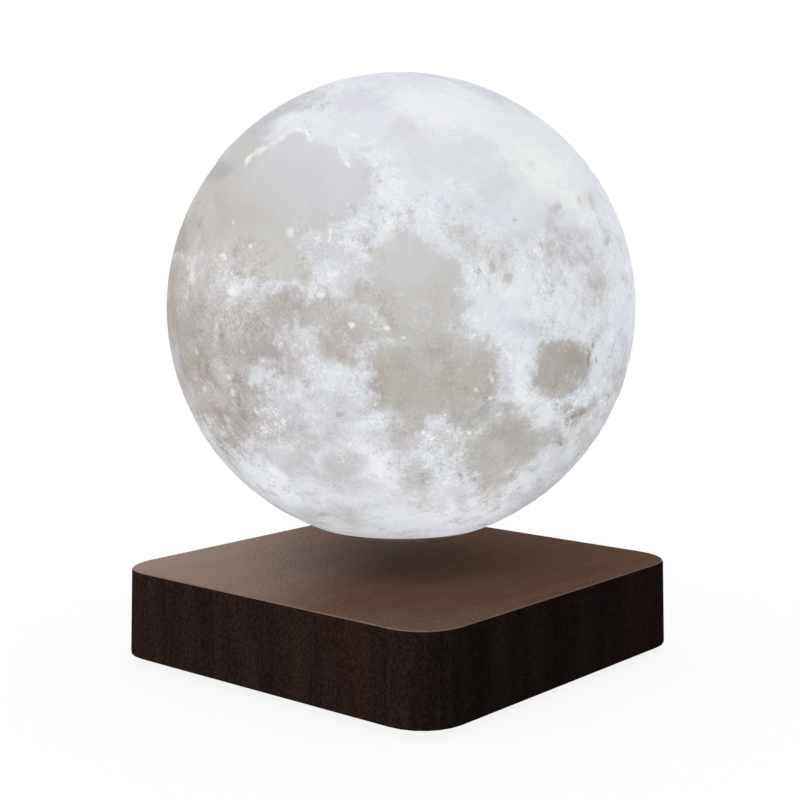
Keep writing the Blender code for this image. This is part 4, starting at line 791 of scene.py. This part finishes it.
# Depth of a pit as a share of its radius, and height of its rim as a share of that
PIT_DEPTH = 0.09
RIM_HEIGHT = 0.35
# In radii of the pit: its flat floor, its rim's place and width, and how far it reaches
PIT_FLOOR = 0.25
RIM_PLACE = 1.05
RIM_WIDTH = 0.22
PIT_REACH = 1.7
# Relief at which a far pit's floor has its whole painted shade and its rim its whole painted highlight, and
# how strong that is
PIT_PAINTED_SHADE = 0.00012
RIM_PAINTED_HIGHLIGHT = 0.00010
PIT_TINT = 0.45
LINER_SEGMENTS = 128
LINER_ROWS = 48
LINER_INSET = 0.0002
SHARP_ANGLE = math.radians(50.0)


def skin_sphere():
    """A fine sphere from an icosahedron, open below where the magnet cup goes in."""
    bm = bmesh.new()
    bmesh.ops.create_icosphere(bm, subdivisions=1, radius=1.0)
    bmesh.ops.subdivide_edges(bm, edges=bm.edges, cuts=SKIN_STEPS - 1, use_grid_fill=True)
    for vert in bm.verts:
        vert.co.normalize()
    level = -math.sqrt(1 - (OPENING_RADIUS / MOON_RADIUS) ** 2)
    bmesh.ops.bisect_plane(
        bm, geom=bm.verts[:] + bm.edges[:] + bm.faces[:], plane_co=(0, 0, level), plane_no=(0, 0, -1),
        clear_outer=True,
    )
    return bm


def pits(directions, roughness):
    """Height of small craters with raised rims, deeper where the ground is rough."""
    random = np.random.default_rng(PIT_SEED)
    centres = random.normal(size=(PIT_COUNT, 3))
    centres /= lengths(centres)
    low, high = PIT_DEGREES
    sizes = low + (high - low) * random.random(PIT_COUNT) ** PIT_POWER
    height = np.zeros(len(directions))
    for centre, radius in zip(centres, np.radians(sizes)):
        near = np.nonzero(directions @ centre > math.cos(PIT_REACH * radius))[0]
        if not len(near):
            continue
        away = angles(directions[near] @ centre) / radius
        depth = PIT_DEPTH * radius * MOON_RADIUS
        bowl = -depth * (1 - smooth(away, PIT_FLOOR, 1.0))
        rim = RIM_HEIGHT * depth * np.exp(-(((away - RIM_PLACE) / RIM_WIDTH) ** 2))
        height[near] += (bowl + rim) * np.median(roughness[near])
    return height


def moon_shell():
    """The shell's outer skin, with the seas and craters in relief and the map as attributes."""
    bm = skin_sphere()
    directions = np.array([vert.co for vert in bm.verts])
    directions /= lengths(directions)
    points = directions * MOON_RADIUS / MM
    land, sea, mark, depth, far = paint(points, *disc_places(directions))
    share = sea[:, 3] * smooth(depth, -1.0, 1.0)
    relief = smooth(angles(-directions[:, 2]), *RELIEF_START)
    rough = 1 - SEA_CALM * share
    craters = pits(directions, rough)
    # Far pits are painted darker in their bowls and lighter on their rims: painted shade and painted
    # highlight that stand in for their relief
    for shade, strength in ((LILAC, -craters / PIT_PAINTED_SHADE), (GLOW, craters / RIM_PAINTED_HIGHLIGHT)):
        tint(land[:, :3], far * PIT_TINT * np.clip(strength, 0, 1), shade)
    height = -SKIN_DROP - SEA_DROP * share + craters
    height += ROUGH_HEIGHT * rough * fractal(points, *GROUND)
    radii = MOON_RADIUS + relief * height
    for vert, direction, radius in zip(bm.verts, directions, radii):
        vert.co = Vector(direction) * radius
    mesh = bpy.data.meshes.new("moon_skin")
    bmesh.ops.recalc_face_normals(bm, faces=bm.faces)
    bm.to_mesh(mesh)
    bm.free()
    for name, values in (("land", land), ("sea", sea), ("mark", mark)):
        layer = mesh.color_attributes.new(name, "FLOAT_COLOR", "POINT")
        layer.data.foreach_set("color", values.ravel().astype(np.float32))
    layer = mesh.attributes.new("depth", "FLOAT", "POINT")
    layer.data.foreach_set("value", depth.astype(np.float32))
    return mesh


def add_liner(mesh):
    """Closes the shell: up the opening, over the collar's top and round the inner wall."""
    bm = bmesh.new()
    bm.from_mesh(mesh)
    outer = [edge for edge in bm.edges if edge.is_boundary]
    inner_radius = MOON_RADIUS - MOON_WALL
    collar_angle = math.pi - math.asin(COLLAR_RADIUS / inner_radius)
    low = -math.sqrt(MOON_RADIUS**2 - OPENING_RADIUS**2)
    profile = [(OPENING_RADIUS, low + LINER_INSET), (OPENING_RADIUS, CUP_TOP), (COLLAR_RADIUS, CUP_TOP)]
    for i in range(LINER_ROWS):
        angle = collar_angle * (1 - i / LINER_ROWS)
        profile.append((inner_radius * math.sin(angle), inner_radius * math.cos(angle)))
    rings = []
    for radius, height in profile:
        ring = []
        for i in range(LINER_SEGMENTS):
            bearing = math.tau * i / LINER_SEGMENTS
            ring.append(bm.verts.new((radius * math.cos(bearing), radius * math.sin(bearing), height)))
        rings.append(ring)
    for first, second in zip(rings, rings[1:]):
        for i in range(LINER_SEGMENTS):
            bm.faces.new((first[i - 1], first[i], second[i], second[i - 1]))
    pole = bm.verts.new((0, 0, inner_radius))
    for i in range(LINER_SEGMENTS):
        bm.faces.new((rings[-1][i - 1], rings[-1][i], pole))
    inner = [edge for edge in bm.edges if edge.is_boundary and edge not in set(outer)]
    bmesh.ops.bridge_loops(bm, edges=outer + inner)
    bmesh.ops.triangulate(bm, faces=[face for face in bm.faces if len(face.verts) > 3])
    bmesh.ops.recalc_face_normals(bm, faces=bm.faces)
    bm.to_mesh(mesh)
    bm.free()


# How fast the strokes of a ray crater change on their way out, per metre
RAY_TURNS = 22.0
# A faint stain all over, and what lifts the map's tints back to their own level under it
STAIN_GREY = (188, 188, 188)
MAP_LIFT = (2.005, 2.022, 2.034, 1.0)
# Colours of the grain
SOIL_DARK = (178, 173, 174)
SOIL_BRIGHT = (250, 252, 255)
BASIN_DARK = (146, 135, 126)
BASIN_BRIGHT = (222, 222, 224)
RAY_WHITE = (236, 238, 242)
PALE_DOT = (250, 251, 253)
DUSKY_DOT = (150, 140, 134)


def rays(f, aim, strokes):
    """Noise in fine strokes that point away from a direction on the globe, and the distance from it."""
    turn = aim.rotation_difference(Vector((0, 0, 1))).to_euler()
    place = f.split(f.feed(f.add("Mapping"), {"Vector": f.place, "Rotation": turn}).outputs["Vector"])
    bearing = f.math("ARCTAN2", place["Y"], place["X"])
    away = f.math("SQRT", f.plus(f.math("POWER", place["X"], 2), f.math("POWER", place["Y"], 2)))
    behind = f.math("LESS_THAN", place["Z"], 0)
    fan = f.feed(f.add("CombineXYZ"), {
        "X": f.math("COSINE", bearing), "Y": f.math("SINE", bearing), "Z": f.times(away, RAY_TURNS),
    })
    return f.noise(strokes, 4, 0.65, fan.outputs["Vector"]), f.plus(away, behind)


def moon_finish():
    """The printed shell: the map's tints, broken up by grain at every scale."""
    f = Finish("moon_white")
    land, sea, mark, depth = (
        f.add("Attribute", attribute_name=name).outputs for name in ("land", "sea", "mark", "depth"))
    grit = land["Alpha"]
    shore = f.noise(260, 7, 0.74)
    ground = f.noise(180, 8, 0.82, f.scaled(1, 1, 1.15))
    cloud = f.noise(120, 6, 0.68, None, 0.25)
    speck = f.noise(1300, 3, 0.6)
    ragged = f.math("SUBTRACT", shore, 0.5)

    # Sea or land: a crisp, ragged shore mixed with a loose one
    edge = f.times(ragged, 11)
    crisp = f.ramp(f.plus(depth["Fac"], edge), -1, 1)
    loose = f.ramp(f.plus(depth["Fac"], f.times(edge, 0.4)), -2.6, 2.2)
    share = f.times(f.total((crisp, 0.55), (loose, 0.45)), sea["Alpha"])

    # Light and dark grain of the ground
    fine = f.ramp(ground, 0.31, 0.69, -1, 1, "LINEAR")
    broad = f.ramp(cloud, 0.30, 0.70, -1, 1, "LINEAR")
    grain = f.ramp(speck, 0.32, 0.68, -1, 1, "LINEAR")
    bright = f.total((fine, 0.8), (broad, 0.35), (grain, 0.55))
    dim = f.total((fine, 0.5), (broad, 0.6), (grain, 0.35))
    low = f.ramp(f.times(dim, grit), -1, 0, 1, 0)
    high = f.ramp(f.times(bright, grit), 0, 1.35)
    soil = f.mix(f.times(low, 0.8), land["Color"], SOIL_DARK)
    soil = f.mix(f.times(high, 0.95), soil, SOIL_BRIGHT)
    basin = f.mix(f.times(low, 0.5), sea["Color"], BASIN_DARK)
    basin = f.mix(f.times(high, 0.6), basin, BASIN_BRIGHT)
    body = f.mix(share, soil, basin)

    stain = f.noise(300, 6, 0.8, output="Color")
    tinge = f.mix(f.plus(0.04, f.times(grit, 0.07)), STAIN_GREY, stain)
    body = f.mix(1, body, tinge, "MULTIPLY")
    body = f.mix(1, body, MAP_LIFT, "MULTIPLY")

    craters = [(disc_direction(x, y), rest) for x, y, *rest in RAYS]
    craters += [(Vector((x, y, z)).normalized(), rest) for x, y, z, *rest in FAR_RAYS]
    for aim, (count, span, force) in craters:
        strokes, away = rays(f, aim, count)
        fan = f.times(f.ramp(strokes, 0.44, 0.62), f.ramp(away, 0.001, span, force, 0))
        body = f.mix(fan, body, RAY_WHITE)

    # Marks with ragged edges
    blot = f.plus(mark["Alpha"], f.times(ragged, 3.2))
    blot = f.times(f.ramp(blot, 0.25, 1), f.ramp(mark["Alpha"], 0, 0.3))
    body = f.mix(f.times(blot, 0.85), body, mark["Color"])

    # Fine pale and dusky dots, mostly on land
    dots = f.cells(860)
    pick = f.feed(f.add("SeparateColor"), {0: dots["Color"]}).outputs
    disc = f.ramp(dots["Distance"], 0.10, 0.45, 1, 0)
    gate = f.times(f.times(disc, grit), f.ramp(share, 0.2, 1, 1, 0.25))
    body = f.mix(f.times(gate, f.ramp(pick["Red"], 0.70, 1, 0, 0.35)), body, PALE_DOT)
    body = f.mix(f.times(gate, f.ramp(pick["Green"], 0.75, 1, 0, 0.20)), body, DUSKY_DOT)

    f.feed(f.shader, {
        "Base Color": body, "Roughness": f.ramp(ground, 0.3, 0.7, 0.74, 0.88), "Specular IOR Level": 0.03,
    })
    f.bump(f.plus(ground, f.times(speck, 0.3)), 0.0003, 0.5)
    return f.material


def make_moon():
    mesh = moon_shell()
    add_liner(mesh)
    mesh.shade_smooth()
    mesh.set_sharp_from_angle(angle=SHARP_ANGLE)
    moon = add_object("moon_shell", mesh)
    moon.location = MOON_CENTRE
    moon.data.materials.append(moon_finish())
    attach(moon, "moon")
    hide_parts("moon_globe")


# Studio

WHITE = (1.0, 1.0, 1.0, 1.0)
FLOOR_SIZE = 6.0
FLOOR_DROP = 0.0002
FLOOR_WHITE = 0.86
# How much of the floor's own shading shows near the lamp, and from where to where that fades
SHADOW_SHARE = 0.12
SHADOW_REACH = (0.13, 0.42)
SKY_LEVEL = 1.0
WARM_WHITE = (1.0, 0.86, 0.80)
# Lamps: place to the camera's right, towards it and up, height aimed at, size and power
KEY_LAMP = (-0.9, 0.55, 0.60, 0.08, 0.8, 1.0)
# The lamps for the base alone: one from the left, and one behind that only gives its top a sheen
SIDE_LAMP = (-0.76, 0.56, 0.016, 0.014, 0.028, 10.0)
SHEEN_LAMP = (-0.22, -0.60, 0.22, 0.03, 0.35, 9.5)
# The lamp that lifts the shade under the globe
LIFT_SIZE = 0.11
LIFT_HEIGHT = 0.0308
LIFT_FORWARD = 0.05
LIFT_POWER = 0.019


def shown_rays(f):
    """1 for rays that show the background: from the camera, a reflection or through glass."""
    path = f.add("LightPath").outputs
    either = f.math("MAXIMUM", path["Is Camera Ray"], path["Is Glossy Ray"])
    return f.math("MAXIMUM", either, path["Is Transmission Ray"])


def make_floor():
    """A pale floor that shades a little near the lamp and shows white further out."""
    mesh = bpy.data.meshes.new("floor")
    corners = [(x * FLOOR_SIZE, y * FLOOR_SIZE, 0) for x, y in ((-1, -1), (1, -1), (1, 1), (-1, 1))]
    mesh.from_pydata(corners, [], [(0, 1, 2, 3)])
    floor = add_object("floor", mesh)
    floor.location.z = -FLOOR_DROP
    f = Finish("floor", 0.9)
    f.feed(f.shader, {"Base Color": (*[FLOOR_WHITE] * 3, 1.0)})
    shine = f.feed(f.add("Emission"), {"Color": WHITE})
    away = f.feed(f.add("VectorMath", operation="LENGTH"), {0: f.place}).outputs["Value"]
    kept = f.ramp(away, *SHADOW_REACH, SHADOW_SHARE, 0.0)
    blend = f.feed(f.add("MixShader"), {
        0: f.times(shown_rays(f), f.math("SUBTRACT", 1.0, kept)),
        1: f.shader.outputs["BSDF"], 2: shine.outputs["Emission"],
    })
    f.link(blend.outputs["Shader"], f.tree.nodes["Material Output"].inputs["Surface"])
    mesh.materials.append(f.material)


def make_sky():
    world = bpy.data.worlds.new("studio")
    bpy.context.scene.world = world
    world.use_nodes = True
    sky = world.node_tree.nodes["Background"]
    sky.inputs["Color"].default_value = WHITE
    sky.inputs["Strength"].default_value = SKY_LEVEL


def area_lamp(name, place, aim, size, power, pieces=()):
    """A round lamp, which lights some pieces alone if any are named."""
    data = bpy.data.lights.new(name, "AREA")
    data.shape = "DISK"
    data.size = size
    data.energy = power
    lamp = add_object(name, data)
    lamp.location = place
    lamp.rotation_euler = (Vector(aim) - Vector(place)).to_track_quat("-Z", "Y").to_euler()
    if pieces:
        lit = bpy.data.collections.new(name)
        for piece in pieces:
            lit.objects.link(piece)
        lamp.light_linking.receiver_collection = lit
    return lamp


def make_lamps():
    right, _, back = camera_axes()
    level = Vector((back.x, back.y, 0.0)).normalized()
    base = [frame["nodes"][node] for node in ("base_housing", "bottom_cover")]

    def warm_lamp(name, values, pieces=()):
        across, toward, height, aim, size, power = values
        place = right * across + level * toward + Vector((0, 0, height))
        lamp = area_lamp(name, place, (0, 0, aim), size, power, pieces)
        lamp.data.color = WARM_WHITE
        return lamp

    warm_lamp("key", KEY_LAMP)
    warm_lamp("side", SIDE_LAMP, base)
    warm_lamp("sheen", SHEEN_LAMP, base).visible_diffuse = False
    place = level * LIFT_FORWARD + Vector((0, 0, LIFT_HEIGHT))
    globe = [bpy.data.objects["moon_shell"]]
    lift = area_lamp("lift", place, place + Vector((0, 0, 1)), LIFT_SIZE, LIFT_POWER, globe)
    lift.visible_camera = False
    lift.visible_glossy = False


make_camera()
dress_nodes()
make_moon()
make_floor()
make_sky()
make_lamps()

bpy.context.scene.view_settings.view_transform = "Standard"
